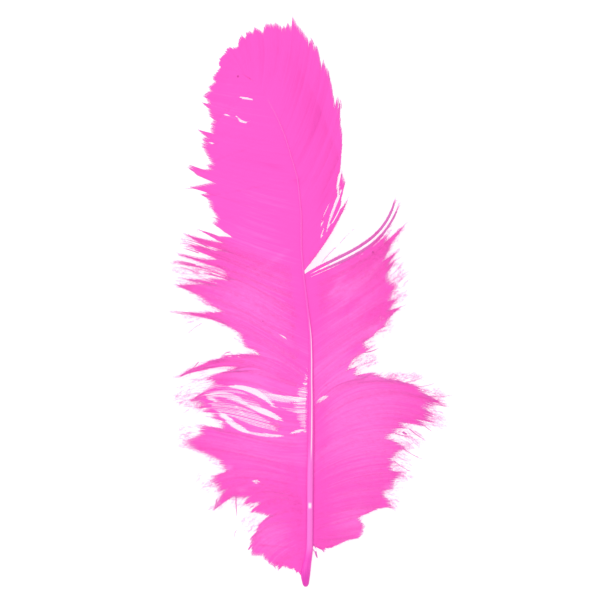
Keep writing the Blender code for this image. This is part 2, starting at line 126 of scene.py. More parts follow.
# How strong each look is, how often streaks change in a metre, and their bump in metres
QUILL_SHADE_AMOUNT, LINE_HIGHLIGHT = 0.55, 0.55
LINE_STREAKS = 0.4
SPOT_PALE = 0.8
SOAKED, STREAKED = 0.6, 0.9
STREAK_FROM = 0.4
STREAKS_ACROSS, STREAKS_ALONG = 2600.0, 160.0
STREAK_BUMP = 0.00006


class Maths:
    """A shader socket that Python's operators work on, each of them as a new node."""

    def __init__(self, tree, socket):
        self.tree, self.socket = tree, socket

    def node(self, kind, settings=None, out=0, **inputs):
        """Any node: its kind, its settings, then its sockets by name, or by place as _0, _1 and so on."""
        made = self.tree.nodes.new("ShaderNode" + kind)
        for key, value in (settings or {}).items():
            setattr(made, key, value)
        for key, value in inputs.items():
            at = int(key[1:]) if key[0] == "_" else key.replace("_", " ")
            if isinstance(value, Maths):
                self.tree.links.new(value.socket, made.inputs[at])
            else:
                made.inputs[at].default_value = value
        return Maths(self.tree, made.outputs[out])

    def maths(self, operation, a, b=0.0):
        return self.node("Math", {"operation": operation}, _0=a, _1=b)

    def __add__(self, other):
        return self.maths("ADD", self, other)

    def __radd__(self, other):
        return self.maths("ADD", other, self)

    def __sub__(self, other):
        return self.maths("SUBTRACT", self, other)

    def __rsub__(self, other):
        return self.maths("SUBTRACT", other, self)

    def __mul__(self, other):
        return self.maths("MULTIPLY", self, other)

    def __rmul__(self, other):
        return self.maths("MULTIPLY", other, self)

    def __abs__(self):
        return self.maths("ABSOLUTE", self)

    def rise(self, low, high):
        """0 below low, 1 above high and smooth between them."""
        settings = {"interpolation_type": "SMOOTHSTEP"}
        return self.node("MapRange", settings, Value=self, From_Min=low, From_Max=high)

    def part(self, axis):
        return self.node("SeparateXYZ", out="XYZ".index(axis), Vector=self)

    def vector(self, x, y, z):
        return self.node("CombineXYZ", X=x, Y=y, Z=z)

    def noise(self, where, scale, detail=2.0):
        return self.node("TexNoise", Vector=where, Scale=scale, Detail=detail)

    def blend(self, share, a, b):
        """Colour a where share is 0 and colour b where it is 1."""
        a, b = (c if isinstance(c, Maths) else (*c, 1.0) for c in (a, b))
        settings = {"data_type": "RGBA", "clamp_factor": True}
        return self.node("Mix", settings, out=2, _0=share, _6=a, _7=b)

    def attribute(self, name, out=2):
        return self.node("Attribute", {"attribute_name": name}, out=out)


def material(name, **finish):
    """A new material with a finish, by its shader's sockets: it, its tree's maths and its shader."""
    mat = bpy.data.materials.new(name)
    mat.use_nodes = True
    shader = mat.node_tree.nodes["Principled BSDF"]
    for socket, value in finish.items():
        shader.inputs[socket.replace("_", " ")].default_value = value
    return mat, Maths(mat.node_tree, None), shader


def colour_from(shader, colour, bump=None, height=0.0):
    """Links a colour, and a bump of the given height in metres, to the shader."""
    colour.tree.links.new(colour.socket, shader.inputs["Base Color"])
    if bump:
        normal = bump.node("Bump", Strength=1.0, Distance=height, Height=bump)
        bump.tree.links.new(normal.socket, shader.inputs["Normal"])


# The flat UV map's width in millimetres, and the millimetres that a metre of an Object coordinate is
UV_SPAN = 172.0
PER_METRE = 1000.0


def piece(name, mesh, mat, smooth=True):
    """A piece of the feather from a mesh in metres, with a flat UV map for its pattern to be baked to."""
    mesh.shade_smooth() if smooth else mesh.shade_flat()
    corners = np.empty(len(mesh.loops), dtype=np.int32)
    mesh.loops.foreach_get("vertex_index", corners)
    spots = np.empty(len(mesh.vertices) * 3)
    mesh.vertices.foreach_get("co", spots)
    flat = spots.reshape(-1, 3)[corners, :2] / MM / UV_SPAN + 0.5
    mesh.uv_layers.new(name="OFBake").data.foreach_set("uv", flat.astype(np.float32).ravel())
    mesh.materials.append(mat)
    ob = bpy.data.objects.new(name, mesh)
    bpy.context.scene.collection.objects.link(ob)
    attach(ob, "root")
    return ob


def shaft_at(y):
    """The shaft's middle, height and radius at y, for an array of y."""
    return [np.interp(y, SHAFT[:, 0], SHAFT[:, k]) for k in (1, 2, 3)]


def follow(table, at):
    """The values between a table's pairs of place and value, at an array of places."""
    return np.interp(at, *np.array(table).T)


def make_shaft():
    """A tube drawn out ring by ring along the smoothed shaft, closed at both ends."""
    length = np.arange(SHAFT[0, 0], SHAFT[-1, 0], SHAFT_STEP)
    y = np.concatenate([SHAFT[0, 0] + ROUND_END, length[1:], [SHAFT[-1, 0]]])
    x, z, radius = shaft_at(y)
    x, z = x + follow(SHAFT_SHIFT, y), z + follow(SHAFT_RAISE, y)
    radius = radius * follow(SHAFT_SWELL, y)
    soft = np.exp(-((np.arange(-SMOOTH_RINGS, SMOOTH_RINGS + 1) / SMOOTH_SPREAD) ** 2))
    for values in (x, z):
        padded = np.pad(values, SMOOTH_RINGS, mode="reflect", reflect_type="odd")
        values[:] = np.convolve(padded, soft / soft.sum(), mode="valid")
    lean = np.arctan2(np.gradient(x), np.gradient(y))
    bm = bmesh.new()
    across = bm.verts.layers.float.new("across")
    ring = bmesh.ops.create_circle(bm, cap_ends=True, segments=SHAFT_SIDES, radius=1.0)["verts"]
    for vert in ring:
        vert[across] = vert.co.x
    edges = bm.edges[:]
    before = Matrix()
    for *middle, size, turn in zip(x, y, z, radius, lean):
        if before != Matrix():
            drawn = bmesh.ops.extrude_edge_only(bm, edges=edges)["geom"]
            ring = [part for part in drawn if isinstance(part, bmesh.types.BMVert)]
            edges = [part for part in drawn if isinstance(part, bmesh.types.BMEdge) and part.is_boundary]
        place = Matrix.Translation(Vector(middle) * MM) @ Matrix.Rotation(-turn, 4, "Z")
        place = place @ Matrix.Rotation(math.pi / 2, 4, "X") @ Matrix.Scale(size * MM, 4)
        bmesh.ops.transform(bm, matrix=place @ before.inverted(), verts=ring)
        before = place
    bmesh.ops.contextual_create(bm, geom=edges)
    bmesh.ops.recalc_face_normals(bm, faces=bm.faces)
    mesh = bpy.data.meshes.new("shaft")
    bm.to_mesh(mesh)
    bm.free()
    return mesh


shaft_mat, m, shader = material("dyed shaft", Roughness=SHAFT_ROUGH, Coat_Weight=SHAFT_COAT)
place = m.node("TexCoord", out=3)
along = place.part("Y") * PER_METRE
across = m.attribute("across")
edge = abs(across)
streak = m.noise(m.vector(place.part("X") * STREAKS_ACROSS, place.part("Y") * STREAKS_ALONG, 0.0), 1.0)
# Painted shade darkens the shaft's rounded sides, from the quill upwards
shaded = m.blend(edge.rise(*SIDE_SHADE_FROM) * along.rise(*SIDE_SHADE_START), SHAFT_PINK, SHAFT_SIDE_SHADE)
shaded = m.blend(along.rise(*UPPER_START), shaded, UPPER_SHAFT)
# Deeper painted shade on the quill's sides
quill_side_shade = edge.rise(*QUILL_SHADE_FROM) * (1.0 - along.rise(*QUILL_SHADE_END)) * QUILL_SHADE_AMOUNT
shaded = m.blend(quill_side_shade, shaded, SOAKED_QUILL_AND_SIDE_SHADE)
# A pale line off the middle of the top: paler keratin brightened as a painted highlight
highlight_line = 1.0 - abs(across - LINE_PLACE).rise(*LINE_FADES)
highlight_line = highlight_line * along.rise(*LINE_START) * (1.0 - along.rise(*LINE_END))
spot = (1.0 - abs(along - SPOT_PLACE).rise(*SPOT_FADES)) * (1.0 - edge.rise(*SPOT_SIDES))
pale = m.blend(highlight_line * (LINE_HIGHLIGHT + streak * LINE_STREAKS) + spot * SPOT_PALE, shaded, PALE_HIGHLIGHT_LINE)
red = m.blend(1.0 - along.rise(*RED_END), pale, RED_QUILL)
soaked = (1.0 - along.rise(*SOAKED_END)) * SOAKED
soaked = soaked + (1.0 - along.rise(*STREAKED_END)) * (streak - STREAK_FROM) * STREAKED
colour_from(shader, m.blend(soaked, red, SOAKED_QUILL_AND_SIDE_SHADE), streak, STREAK_BUMP)
shaft = piece("shaft", make_shaft(), shaft_mat)
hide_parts("feather")

# Vanes
# Hundreds of barbs grew out of both sides of the shaft, hooked edge to edge into a closed web of dyed
# keratin. Handling has split the web into locks, torn a few slits in it and left the ends ragged. Each
# barb is a fine ribbon with a ridge; barbs of one lock run side by side out to its free edge.

# How far from the shaft the vane reaches the ground, along and across in millimetres
LEFT_REACH = ((-78, 6), (-66, 17), (-50, 26), (-38, 32), (-18, 33), (0, 34), (20, 30), (45, 24), (66, 12))
RIGHT_REACH = ((-72, 6), (-62, 16), (-48, 25), (-28, 34), (0, 25), (15, 25), (27, 14), (45, 12), (66, 12))

# Each lock from the feather's tip to its stem: where its first and last barbs leave the shaft, how far
# they bulge towards the feather's tip near the shaft and near their ends, in thousandths of their length,
# how high the tips lift, and its free edge to the last barb's end. The edge starts where the one before
# it ended, or at a spot of its own that comes last
LEFT_LOCKS = (
    (64.6, 60, 0, 0, 0.1, ((-26.2, 63.9), (-27.2, 62.6), (-26.5, 61.3)), (-24.7, 65.6)),
    (60, 53, -20, -30, 0.2, ((-28.2, 60), (-28.1, 58.9), (-29.8, 57.5), (-28.6, 56.2))),
    (53, 47.5, -20, -30, 0.3, ((-28.5, 55), (-30.3, 55.6), (-28.6, 54), (-28.2, 52.6))),
    (47.5, 42.5, -30, -30, 0.1, ((-28, 51.7), (-26.8, 50.8), (-27.6, 49.8), (-27.7, 47))),
    (42.5, 36, -40, -30, 0.3,
     ((-31.2, 47.9), (-29.2, 46), (-30.2, 45.4), (-29.6, 44.6), (-30.2, 43.3), (-29.2, 41.3))),
    (36, 31, -50, -30, 0.2, ((-27.6, 38.5), (-29, 38.1), (-28.2, 37))),
    (31, 26, -40, -40, 0.9, ((-30.6, 36.7), (-33.6, 38.1), (-34, 37.2), (-31.5, 35.2), (-27.2, 33.3))),
    (26, 22, -30, 30, 0.5, ((-33.6, 31.9), (-30.6, 31.2), (-28.9, 30.4))),
    (22, 17, -30, -20, 0.1, ((-30.6, 29.8), (-28.8, 28.9), (-28.2, 27.2), (-28.4, 26.3), (-27.2, 25))),
    (17, 11.5, -30, -20, 0.2, ((-26.1, 23.4), (-27.3, 21.8), (-24.8, 20), (-22, 18))),
    (11.5, 8.8, -30, -10, 0.6, ((-26.4, 18.1), (-31.3, 20.1), (-24.4, 16.2))),
    (8.8, 6, -30, -10, 0.9, ((-27.6, 16.7), (-34.3, 18.4), (-29.2, 15.4), (-23.7, 13.9))),
    (6, 2.5, -30, 0, 0.7, ((-29.4, 14.5), (-35.2, 17.2), (-32.2, 14.3), (-26.2, 11.9))),
    (2.5, -0.5, -30, 30, 1, ((-29.8, 11.5), (-36.2, 12.9), (-30.8, 10.7), (-27.5, 9.9))),
    (-0.5, -3.9, -30, 80, 0.8, ((-32, 9.8), (-37.2, 11), (-31.6, 8.9), (-25, 7.9))),
    (-3.9, -9, -30, 80, 0.5, ((-29, 7.6), (-22, 6.2), (-34, 6), (-26.5, 4.3))),
    (-9, -12.5, -20, 80, 1.2, ((-31.3, 4.8), (-37.3, 4.4), (-34.2, 3.1), (-31.5, 1.7))),
    (-12.5, -16, -20, 80, 0.6, ((-29.5, 0.2), (-28.2, -1), (-26, -1.9), (-25.1, -3))),
    (-16, -18.3, -20, 140, 0.6, ((-31.8, -3.3), (-38.6, -2.9), (-31.4, -4.2), (-25.5, -5.2))),
    (-18.3, -21, 0, 100, 0.4, ((-22.5, -7.2), (-20.2, -8.4), (-19.2, -10.2))),
    (-21, -22.6, 20, 70, 0.3, ((-18.2, -12.6), (-15.8, -13.4), (-14.2, -15.2))),
    (-22.6, -24.4, 60, 200, 1.8,
     ((-19, -14.9), (-24, -15.4), (-26.5, -16.6), (-31, -17.3), (-33.8, -19), (-36.6, -21.2), (-33, -19.4),
      (-29, -18.4))),
    (-24.4, -27, -40, 160, 1.2, ((-27.6, -20.6), (-29.6, -22.8), (-26.6, -22.4)), (-20.2, -19.4)),
    (-27, -29, -60, 200, 1, ((-29.4, -24.9), (-32.2, -27.2), (-31, -27.6))),
    (-29, -31.5, -80, 140, 0.6, ((-33.2, -27.8), (-30.6, -29))),
    (-31.5, -33.6, -80, 100, 0.8, ((-31.4, -29.9), (-28.6, -29.8))),
    (-33.6, -35.4, -90, 80, 0.4, ((-29.8, -30.9), (-27, -31.2))),
    (-35.4, -37, -100, 40, 0.6, ((-27.6, -32.4), (-24.6, -33.4))),
    (-37, -41, -140, -20, 0.8, ((-25, -36.2), (-28.6, -35), (-30.5, -35.1), (-31.2, -37.4))),
    (-41, -46.5, -30, 40, 0.9, ((-34.8, -39.2), (-33.4, -41))),
    (-46.5, -50, 0, 80, 0.5, ((-29.8, -42.4), (-25.8, -44.4), (-23.6, -47.8))),
    (-50, -52.5, 20, 160, 1, ((-26.6, -49), (-27.8, -50.6), (-25.9, -51.6))),
    (-52.5, -54.6, 40, 240, 0.4, ((-26, -53.3), (-24.2, -53.2), (-26.8, -58.2), (-22, -54.8))),
    (-54.6, -56, 60, 260, 0.3, ((-20.4, -55.2), (-17.3, -54.9))),
    (-56, -57.4, 60, 240, 0.6, ((-18.7, -57), (-14.8, -56.3), (-14.2, -57.2))),
    (-57.4, -58.6, 80, 240, 0.2, ((-16.6, -59), (-14, -59.4), (-10.8, -60.2))),
    (-58.6, -62, 100, 240, 0.7,
     ((-13.2, -61.8), (-14.9, -63.9), (-14.6, -65), (-16.8, -66.8), (-16.2, -68))),
    (-62, -65.5, 120, 180, 0.4,
     ((-17, -69.3), (-15.9, -69.8), (-16.4, -71.3), (-13, -71.2), (-12.1, -72.9))),
    (-65.5, -74.4, 120, 180, 0.2,
     ((-9.8, -74.4), (-9, -74), (-8.6, -75.1), (-7.4, -74), (-5.8, -74.9), (-4.4, -74.9), (-2.3, -76.5))),
)
RIGHT_LOCKS = (
    (64.6, 63.6, 0, -60, 0, ((-25.4, 66.4), (-25.2, 67.7), (-24, 69.1)), (-24.9, 64.9)),
    (63.6, 62.2, -20, -80, 0.1,
     ((-22.7, 71), (-21.5, 70.9), (-20.1, 71.2), (-19.8, 73.5), (-18.9, 74.3), (-17.9, 73.6))),
    (62.2, 58.8, -30, -80, 0.2,
     ((-17.7, 75.1), (-17, 75.6), (-15.9, 75.2), (-15.5, 76.6), (-14.2, 76), (-13.1, 75))),
    (58.8, 56, -40, -80, 0.2, ((-12.7, 76.9), (-12, 77.8), (-10, 77.4), (-9.3, 77.9), (-8.3, 77.2))),
    (56, 51.5, -50, -80, 0.1,
     ((-7.6, 76.2), (-7.2, 77.2), (-6.7, 76.3), (-6.2, 77.9), (-5, 76.8), (-4.7, 79.85), (-3.7, 77.6))),
    (51.5, 46, -50, -70, 0, ((-2.2, 75.9), (-1, 74.2), (0.1, 72.3))),
    (46, 41, -50, -60, 0.1, ((0.5, 73.6), (1.3, 71.3), (2, 71.5), (2.6, 69.5), (3.1, 67.5))),
    (41, 35.5, -50, -60, 0.2, ((3.6, 65.5), (3.9, 67.5), (4.5, 65.7), (5.1, 65.1), (5.8, 62.6))),
    (35.5, 30, -50, -70, 0.1, ((6.4, 59.5), (6.9, 56), (7.3, 54.7))),
    (30, 26, -50, -70, 0.3, ((7.8, 57.2), (8.1, 53.6), (8.6, 56), (8.6, 52))),
    (26, 20.5, -50, -80, 0.1, ((8.7, 49.6), (9.1, 47.8), (9.1, 43.5))),
    (20.5, 14.5, -50, -80, 0.1, ((8.8, 39), (8.6, 36.4), (7.9, 33.5), (7.6, 30))),
    (14.5, 11, -40, -100, 0.5, ((9.2, 36), (9.9, 33), (8.6, 27.4)), (8.8, 34.5)),
    (11, 8, -30, -50, 0.8, ((10.2, 27.4), (8, 22.9)), (8.5, 25.6)),
    (7.1, 6.2, -20, -232, 1, ((23.9, 28.1), (23.8, 27)), (23.4, 27.1)),
    (6.4, 5.8, -50, -208, 0.6, ((24.6, 25.9), (24.2, 24.6)), (24, 24.9)),
    (5.9, 0, -50, -100, 0.4, ((21.9, 18.6), (21.7, 16.9), (26, 20.6), (21.2, 13.4)), (21.7, 19.8)),
    (0, -4.5, -30, -50, 0.3, ((22.4, 15), (21.2, 11.6), (24.1, 13.5), (21.9, 9.6))),
    (-4.5, -9, 0, -20, 0.2, ((23.7, 11.2), (22.1, 8), (22.5, 6))),
    (-9, -14, 20, 0, 0.5, ((24.6, 4.8), (23.3, 2.2), (22.9, 0.6))),
    (-14, -18, 30, 20, 0.3, ((24.5, 0.6), (22.3, -2.6), (25.1, -1.8), (22.7, -4.3))),
    (-18, -22, 40, 30, 0.1, ((20.9, -7.1), (19, -8.2), (17.8, -9.8))),
    (-22, -25, 50, 40, 0.4, ((15.3, -10.7), (15.6, -12.3), (16.9, -13.3), (14.5, -14.3))),
    (-25, -28, 60, 50, 0.1, ((12.4, -15.9), (10.4, -19.4))),
    (-28, -30.9, 120, 60, 0.9, ((13.3, -18.2), (12.8, -20.6))),
    (-30.9, -33.6, 260, 200, 1.6,
     ((15.4, -21.2), (17.9, -20.1), (20.3, -21.2), (21.9, -22), (24.9, -22.4), (28.5, -23.4))),
    (-33.6, -36.5, 270, 240, 1.2, ((31.2, -24.5), (33.6, -27), (38.7, -29.4), (34, -28.6))),
    (-36.5, -39.5, 240, 220, 0.8, ((34.9, -29.2), (33, -30.3), (34.6, -32.3), (33.2, -32.8))),
    (-39.5, -42, 190, 190, 0.5, ((33.9, -33.8), (31.6, -33.4), (32.2, -34.9), (29.2, -34.3))),
    (-42, -44.5, 180, 170, 0.4, ((27, -33.9), (26.2, -34.3), (26.9, -35.6), (24.9, -35.5))),
    (-44.5, -46.5, 160, 140, 0.2, ((24.2, -36.7), (22.6, -37.1), (21.9, -38.5))),
    (-46.5, -50, 140, 120, 0.7, ((23.5, -39), (25.2, -39.7), (27.3, -41.3), (25.3, -41.9), (24.5, -43))),
    (-50, -53.5, 120, 100, 0.3, ((23, -44), (23.9, -45), (23, -46.3))),
    (-53.5, -57.5, 100, 100, 0.6,
     ((24, -47.8), (26.3, -47.9), (25.3, -49.2), (24.1, -49.9), (23.6, -52.4))),
    (-57.5, -61.5, 80, 100, 0.4, ((21.1, -53), (21.2, -54.3), (22.6, -55.9), (23, -57.6), (20.4, -57.8))),
    (-61.5, -64.5, 50, 60, 0.2, ((17.6, -58.7), (16, -59.5), (14.1, -60))),
    (-64.5, -66, 0, -60, 0.5, ((14.2, -60.9), (15.3, -62.6), (15.1, -64.2))),
    (-66, -66.9, 0, -50, 0.4, ((14.6, -65.5), (13.6, -66.4))),
    (-66.9, -67.8, 30, 20, 0.1,
     ((11.4, -66.6), (9, -67.6), (6.5, -68.9), (4.6, -69.1), (4, -69.8), (3.5, -68.9), (2.3, -68.3))),
)

# Gaps that are torn in the web: from, to, sideways bulge as a share of their length, width at the middle
# in millimetres, and how open they are, from 0 to 1
GAPS = (
    (-19.6, 57, -15.6, 56.2, 0, 0.85, 1), (-24.2, 52.3, -22.2, 51.7, 0, 0.7, 0.9),
    (-20.5, 51.7, -17.2, 49.7, -0.12, 0.9, 1), (-18.4, 49.9, -16.6, 50.2, 0, 0.4, 0.7),
    (-28.1, 44.3, -26.7, 44.1, 0, 0.6, 1), (-29, 39.3, -26.6, 37.4, 0.1, 0.5, 0.9),
    (-8.4, -9.3, -6.1, -10.6, 0, 0.7, 1), (-6.3, -1, -2.1, -2.9, 0, 0.3, 0.5),
    (-5.6, -1.9, -3.2, -3.1, 0, 0.25, 0.5), (-15.7, -50.4, -13.9, -50.4, 0, 1.5, 1),
    (1.9, -28.6, 5.5, -26.2, 0.05, 1.6, 1), (8.5, 36, 8.3, 28.6, -0.05, 1.3, 1),
    (8.5, 29.2, 4.8, 19.2, -0.04, 1.1, 1), (5.7, 27.5, 2.9, 20.4, -0.03, 0.5, 0.85),
    (4.2, 23, 3, 20.2, 0, 0.3, 0.8), (4.2, 21.2, 3, 17, 0, 0.6, 1), (8.4, 25.4, 6, 21.2, 0, 0.7, 1),
    (9.4, 31.6, 6.3, 23.4, -0.06, 0.75, 1), (17, 14.8, 22.4, 20.8, -0.07, 0.4, 1),
    (13.2, 11.6, 14.8, 13.1, 0, 0.3, 0.8), (-35.5, -22.2, -19.8, -18.6, 0.04, 2.4, 1),
    (-36.5, -20.2, -24, -15, 0.03, 1.7, 1), (-22.4, -23.8, -9.2, -30.2, 0.12, 2.1, 1),
    (-12.4, -26, -1.6, -27.4, -0.05, 2.5, 0.84), (-17.2, -29.2, -7.4, -33.4, 0.03, 2.1, 1),
    (-25.2, -30.8, -16.8, -36.8, -0.05, 2.3, 0.95), (-17.6, -36.5, -7, -37.6, -0.03, 1.3, 0.8),
    (-5.6, -37, -1.9, -35.9, 0, 1, 0.9), (-29.6, -26, -25.2, -28.2, 0, 1.6, 0.8),
    (-29.4, -26.6, -16.8, -29.6, 0.14, 2.3, 0.85), (-13, -33.2, -8.2, -36.4, 0, 2.6, 0.45),
    (-20.6, -29.2, -18.2, -32, 0, 0.8, 0.8), (-27.6, -29.2, -22, -33.6, 0, 1.2, 0.5),
    (-30.5, 10.2, -22, 5.6, 0.08, 3.6, 0.75), (-34, 7.2, -25.5, 4.9, 0, 1.4, 0.6),
    (-21.2, -10.8, -17, -13.6, 0, 0.8, 0.8), (-24, -13.6, -18.4, -16.4, 0.05, 0.8, 0.7),
    (-22.8, -15, -19.8, -17, 0, 0.5, 0.7), (-42, 24.6, -21.8, 17.9, 0, 2.2, 1),
    (-40, 22, -24, 16.1, 0, 0.9, 1), (-40, 18, -23.4, 13.8, 0, 1.1, 1), (-42, 15.6, -25.8, 11.7, 0, 1.9, 1),
    (-42, 13, -27.4, 9.8, 0, 0.9, 1), (-44, 11, -27, 8.6, 0, 0.9, 0.9),
    (-43, 8.4, -26, 6.6, -0.03, 1.2, 0.9), (-44, -1.6, -24.9, -3.1, 0, 1.1, 1),
    (-30.6, 8.6, -21.9, 6.3, 0.06, 1.6, 1), (-33, -24.4, -12, -31.6, 0.1, 5, 0.6),
    (-28, -28.5, -9, -36.5, 0.04, 5, 0.62), (-16, -24.5, -2, -31, 0, 4, 0.6),
    (-42, -2.6, -28.5, -3.5, 0, 1.3, 0.8), (44, -30.2, 34.2, -28.4, 0, 2.2, 0.75),
    (-40, 12.8, -27.4, 10.2, 0, 1.7, 0.75), (-27.8, 26.2, -26, 22, 0.05, 1, 0.85),
    (-43, -24, -26.2, -22.2, 0, 1.4, 0.9), (-42, -33.4, -24.6, -33.8, 0, 1.4, 0.9),
)

# Places where the web looks lighter (over 0) or darker (under 0): middle, half sizes, turn and amount
SHADES = (
    (-24, 56, 10, 10, 0, 0.25), (-12, 68, 14, 10, 0, -0.3), (0, 52, 7, 22, 15, -0.3),
    (-17, 40, 9, 2.4, -5, -0.35), (-9.7, 37.3, 3.5, 0.8, -15, -0.5), (-3.6, 33.5, 1.5, 1.2, 0, -0.6),
    (2, 52, 3, 6, 20, -0.25), (4, 29, 1.2, 5, -25, -0.5), (-2.5, -5, 3.5, 17, 0, -0.35),
    (2.8, 2, 3.2, 14, -4, -0.35), (-2.4, -62, 2.2, 11, 8, -0.5), (3, -60, 2, 11, 0, -0.45),
    (-12, -66, 7, 7, 0, 0.75), (13, -63, 7, 6, 0, 0.6), (9, 3, 3, 1.2, 40, 0.45), (11, -2, 5, 1, 35, -0.5),
    (19, -3, 5, 1.6, 30, -0.55), (20, -22.5, 10, 1.6, -6, -0.15), (-24, -17, 9, 3, 10, -0.1),
    (-26, -24, 5, 2.4, 30, -0.5), (-15, 20, 10, 12, 0, 0.3), (-16, -45, 13, 7, 0, 0.25),
    (17, -45, 8, 8, 0, 0.15), (-8, -22, 4, 4, 30, -0.2), (3, -33, 3, 8, 0, -0.35),
    (-17, -22, 17, 24, 0, 0.7), (14, -25, 16, 30, 0, 0.85), (10, 4, 8, 7, 0, 0.25), (-16, 2, 12, 7, 0, 0.5),
    (7.5, 4, 3.5, 0.8, 60, 0.45), (12, 3.5, 4, 0.9, 55, 0.5), (16, 6.5, 4, 0.8, 45, 0.35),
    (19, 10, 2.5, 0.7, 45, 0.3), (18, -21.4, 12, 1.2, -4, 0.35), (17.5, -8, 1.4, 0.8, 30, 0.8),
    (22, -52, 1.2, 0.9, 0, 0.8), (-22.5, -46.5, 0.9, 0.7, 0, 0.9), (-19, -52.8, 1.2, 0.6, 0, 0.8),
    (-9, 12, 6, 1, 35, 0.25), (13, -13, 3, 1.2, 30, -0.4),
)

# Distance between barbs, samples along one, how far its end strays from its lock's edge, and how far its
# root lies past the shaft's middle
BARB_PITCH = 0.3
SAMPLES = 34
END_JITTER = 0.16
ROOT_PAST = 0.2

# Where a barb's last direction is taken, and the share of a lock that is spread evenly over its edge
NEAR_END, EVEN_SHARE = 0.9, 0.3

# Where along two shaping barbs their distance counts, the most that their tips' distance counts, and
# where in its slot between them a barb may stand
GAP_PLACES = np.array([0.0, 0.5, 0.8])
MOST_SLIDE = 1.6
IN_SLOT = (0.3, 0.7)

# Height of the web at its edge, the share of it that barbs lie at, a lock's arch and its fall towards the
# tips, how far raised tips lift, and how much single barbs differ
VANE_TOP = 0.32
BARB_LEVEL = 0.7
LOCK_ARCH = 0.3
ARCH_FALLS = 0.4
LIFT_SHARE = 0.6
BARB_RISE = 0.015

# A barb's half width as a share of the distance to its neighbours, its least and most, its share along the
# barb, and its ridge's height at the half width after it
HALF_SHARE = 0.62
HALF_LEAST, HALF_MOST = 0.12, 0.42
BARB_TAPER = ((0, 1), (0.9, 1), (0.97, 0.62), (1.0, 0.22))
RIDGE, RIDGE_AT = 0.035, 0.2

# How firm single barbs are: in a gap the soft ones thin out first, and beside the comb they stay bare for
# longer. Then how sharply a gap opens, and how thin barbs get in it
FIRMNESS = (0.55, 1.15)
MIDDLE_FIRMNESS = 0.85
FIRM_HOLDS = 0.6
GAP_SIDES = 3
GAP_PULLS = 1.7
GAP_THINS = 0.93

# The comb of bare barbs beside the shaft on the left: its width at each y, the width in which the web
# closes again, how much that varies, its barbs' distance and half width, and where it starts
COMB = ((-37.4, 0), (-36.8, 2.2), (-35, 3.4), (-33.4, 4.2), (-31, 4.9), (-28, 6), (-25.5, 4.6), (-22, 3),
        (-20, 2.2), (-18.6, 1.9), (-17.8, 0))
COMB_EDGE = 1.2
COMB_VARIES = 1.6
COMB_PITCH = 0.33
COMB_HALF = 0.08
COMB_START = ((0.75, 0), (1.15, 1))

# A run of joined locks with fewer barbs than this is a bare strand, mauve almost from its root. Outer barbs
# of the other runs are so towards their ends
STRAND_BARBS = 16
STRAND_MAUVE = ((0.1, 0), (0.3, 1.6))
OUTER_MAUVE = ((0.6, 0), (1.0, 1.2))

CLOSED_PINK = (0.93, 0.073, 0.54)
DEEP_PINK = (0.84, 0.052, 0.47)
THIN_PINK = (0.96, 0.155, 0.65)
TIP_MAUVE = (0.66, 0.14, 0.48)
SPECK_RED = (0.55, 0.02, 0.28)
VANE_ROUGH = 0.7

# How much barbs and locks differ in tone, the tones at which the web is deep pink or thin, and the part of
# a barb's end that is mauve in streaks and then all over
BARB_TONE, LOCK_TONE = 0.06, 0.07
DEEP_TONES = (-1.1, 0.0)
THIN_TONES = (0.1, 1.1)
TIP_STREAKS = (0.2, 0.6)
TIP_STRETCH = (0.92, 1.0)
TIP_AMOUNT = 0.9
BARE_STRETCH = (1.0, 1.6)

# Streaks: how often they change across and along the barbs, their amount, the pattern's step from barb to
# barb, and their bump in metres
LONG_ACROSS, LONG_ALONG, LONG_AMOUNT = 0.9, 0.05, 1.1
FINE_ACROSS, FINE_ALONG, FINE_AMOUNT = 3.0, 0.3, 0.45
FLOW_STEP = 0.31
BARB_BUMP = 0.00002

# Dark specks of dye: middle and radius, the share of the radius squared where it is full, and their depth
SPECKS = ((17.7, 13.6, 0.42), (-20.0, 62.8, 0.4), (-13.0, -5.6, 0.25))
SPECK_CORE, SPECK_DEPTH = 0.3, 0.85

rng = np.random.default_rng(41)


def add_mesh(name, verts, faces, mat, attributes, smooth=True):
    """One piece of many small ones, from arrays in millimetres, with an attribute for each pattern."""
    mesh = bpy.data.meshes.new(name)
    mesh.from_pydata((verts * MM).tolist(), [], faces if isinstance(faces, list) else faces.tolist())
    for key, values in attributes.items():
        kind, field = ("FLOAT_VECTOR", "vector") if values.ndim == 2 else ("FLOAT", "value")
        layer = mesh.attributes.new(key, kind, "POINT")
        layer.data.foreach_set(field, values.astype(np.float32).ravel())
    piece(name, mesh, mat, smooth)


def slope_height(paths):
    """Height of the vane's middle all along level paths: it slopes from the shaft to the ground."""
    spots = paths.reshape(-1, 2)
    start, step = SHAFT[:-1, [1, 0]], np.diff(SHAFT[:, [1, 0]], axis=0)
    best = np.full(len(spots), np.inf)
    along, side = np.zeros(len(spots)), np.zeros(len(spots))
    for a, d in zip(start, step):
        off = spots - a
        t = np.clip(off @ d / (d @ d), 0, 1)
        away = np.hypot(*(off - t[:, None] * d).T)
        near = away < best
        best = np.where(near, away, best)
        along = np.where(near, a[1] + t * d[1], along)
        side = np.where(near, off[:, 0] * d[1] - off[:, 1] * d[0], side)
    reach = np.where(side > 0, follow(RIGHT_REACH, along), follow(LEFT_REACH, along))
    top = shaft_at(along)[1] - VANE_TOP
    return (VANE_TOP + top * (1 - np.minimum(1, best / reach) ** 2)).reshape(paths.shape[:2])


def bent(root, tip, near, far, s, right):
    """Spots on barbs from root to tip, at the shares s of their length: barbs by samples by x and y."""
    reach = (tip - root)[:, None]
    across = np.stack([-reach[..., 1], reach[..., 0]], -1) * (1 if right else -1)
    a, b, c = 3 * s * (1 - s) ** 2, 3 * s * s * (1 - s), s**3
    on, off = a / 3 + 2 * b / 3 + c, np.outer(near, a) + np.outer(far, b)
    return root[:, None] + reach * on[None, :, None] + across * off[..., None]


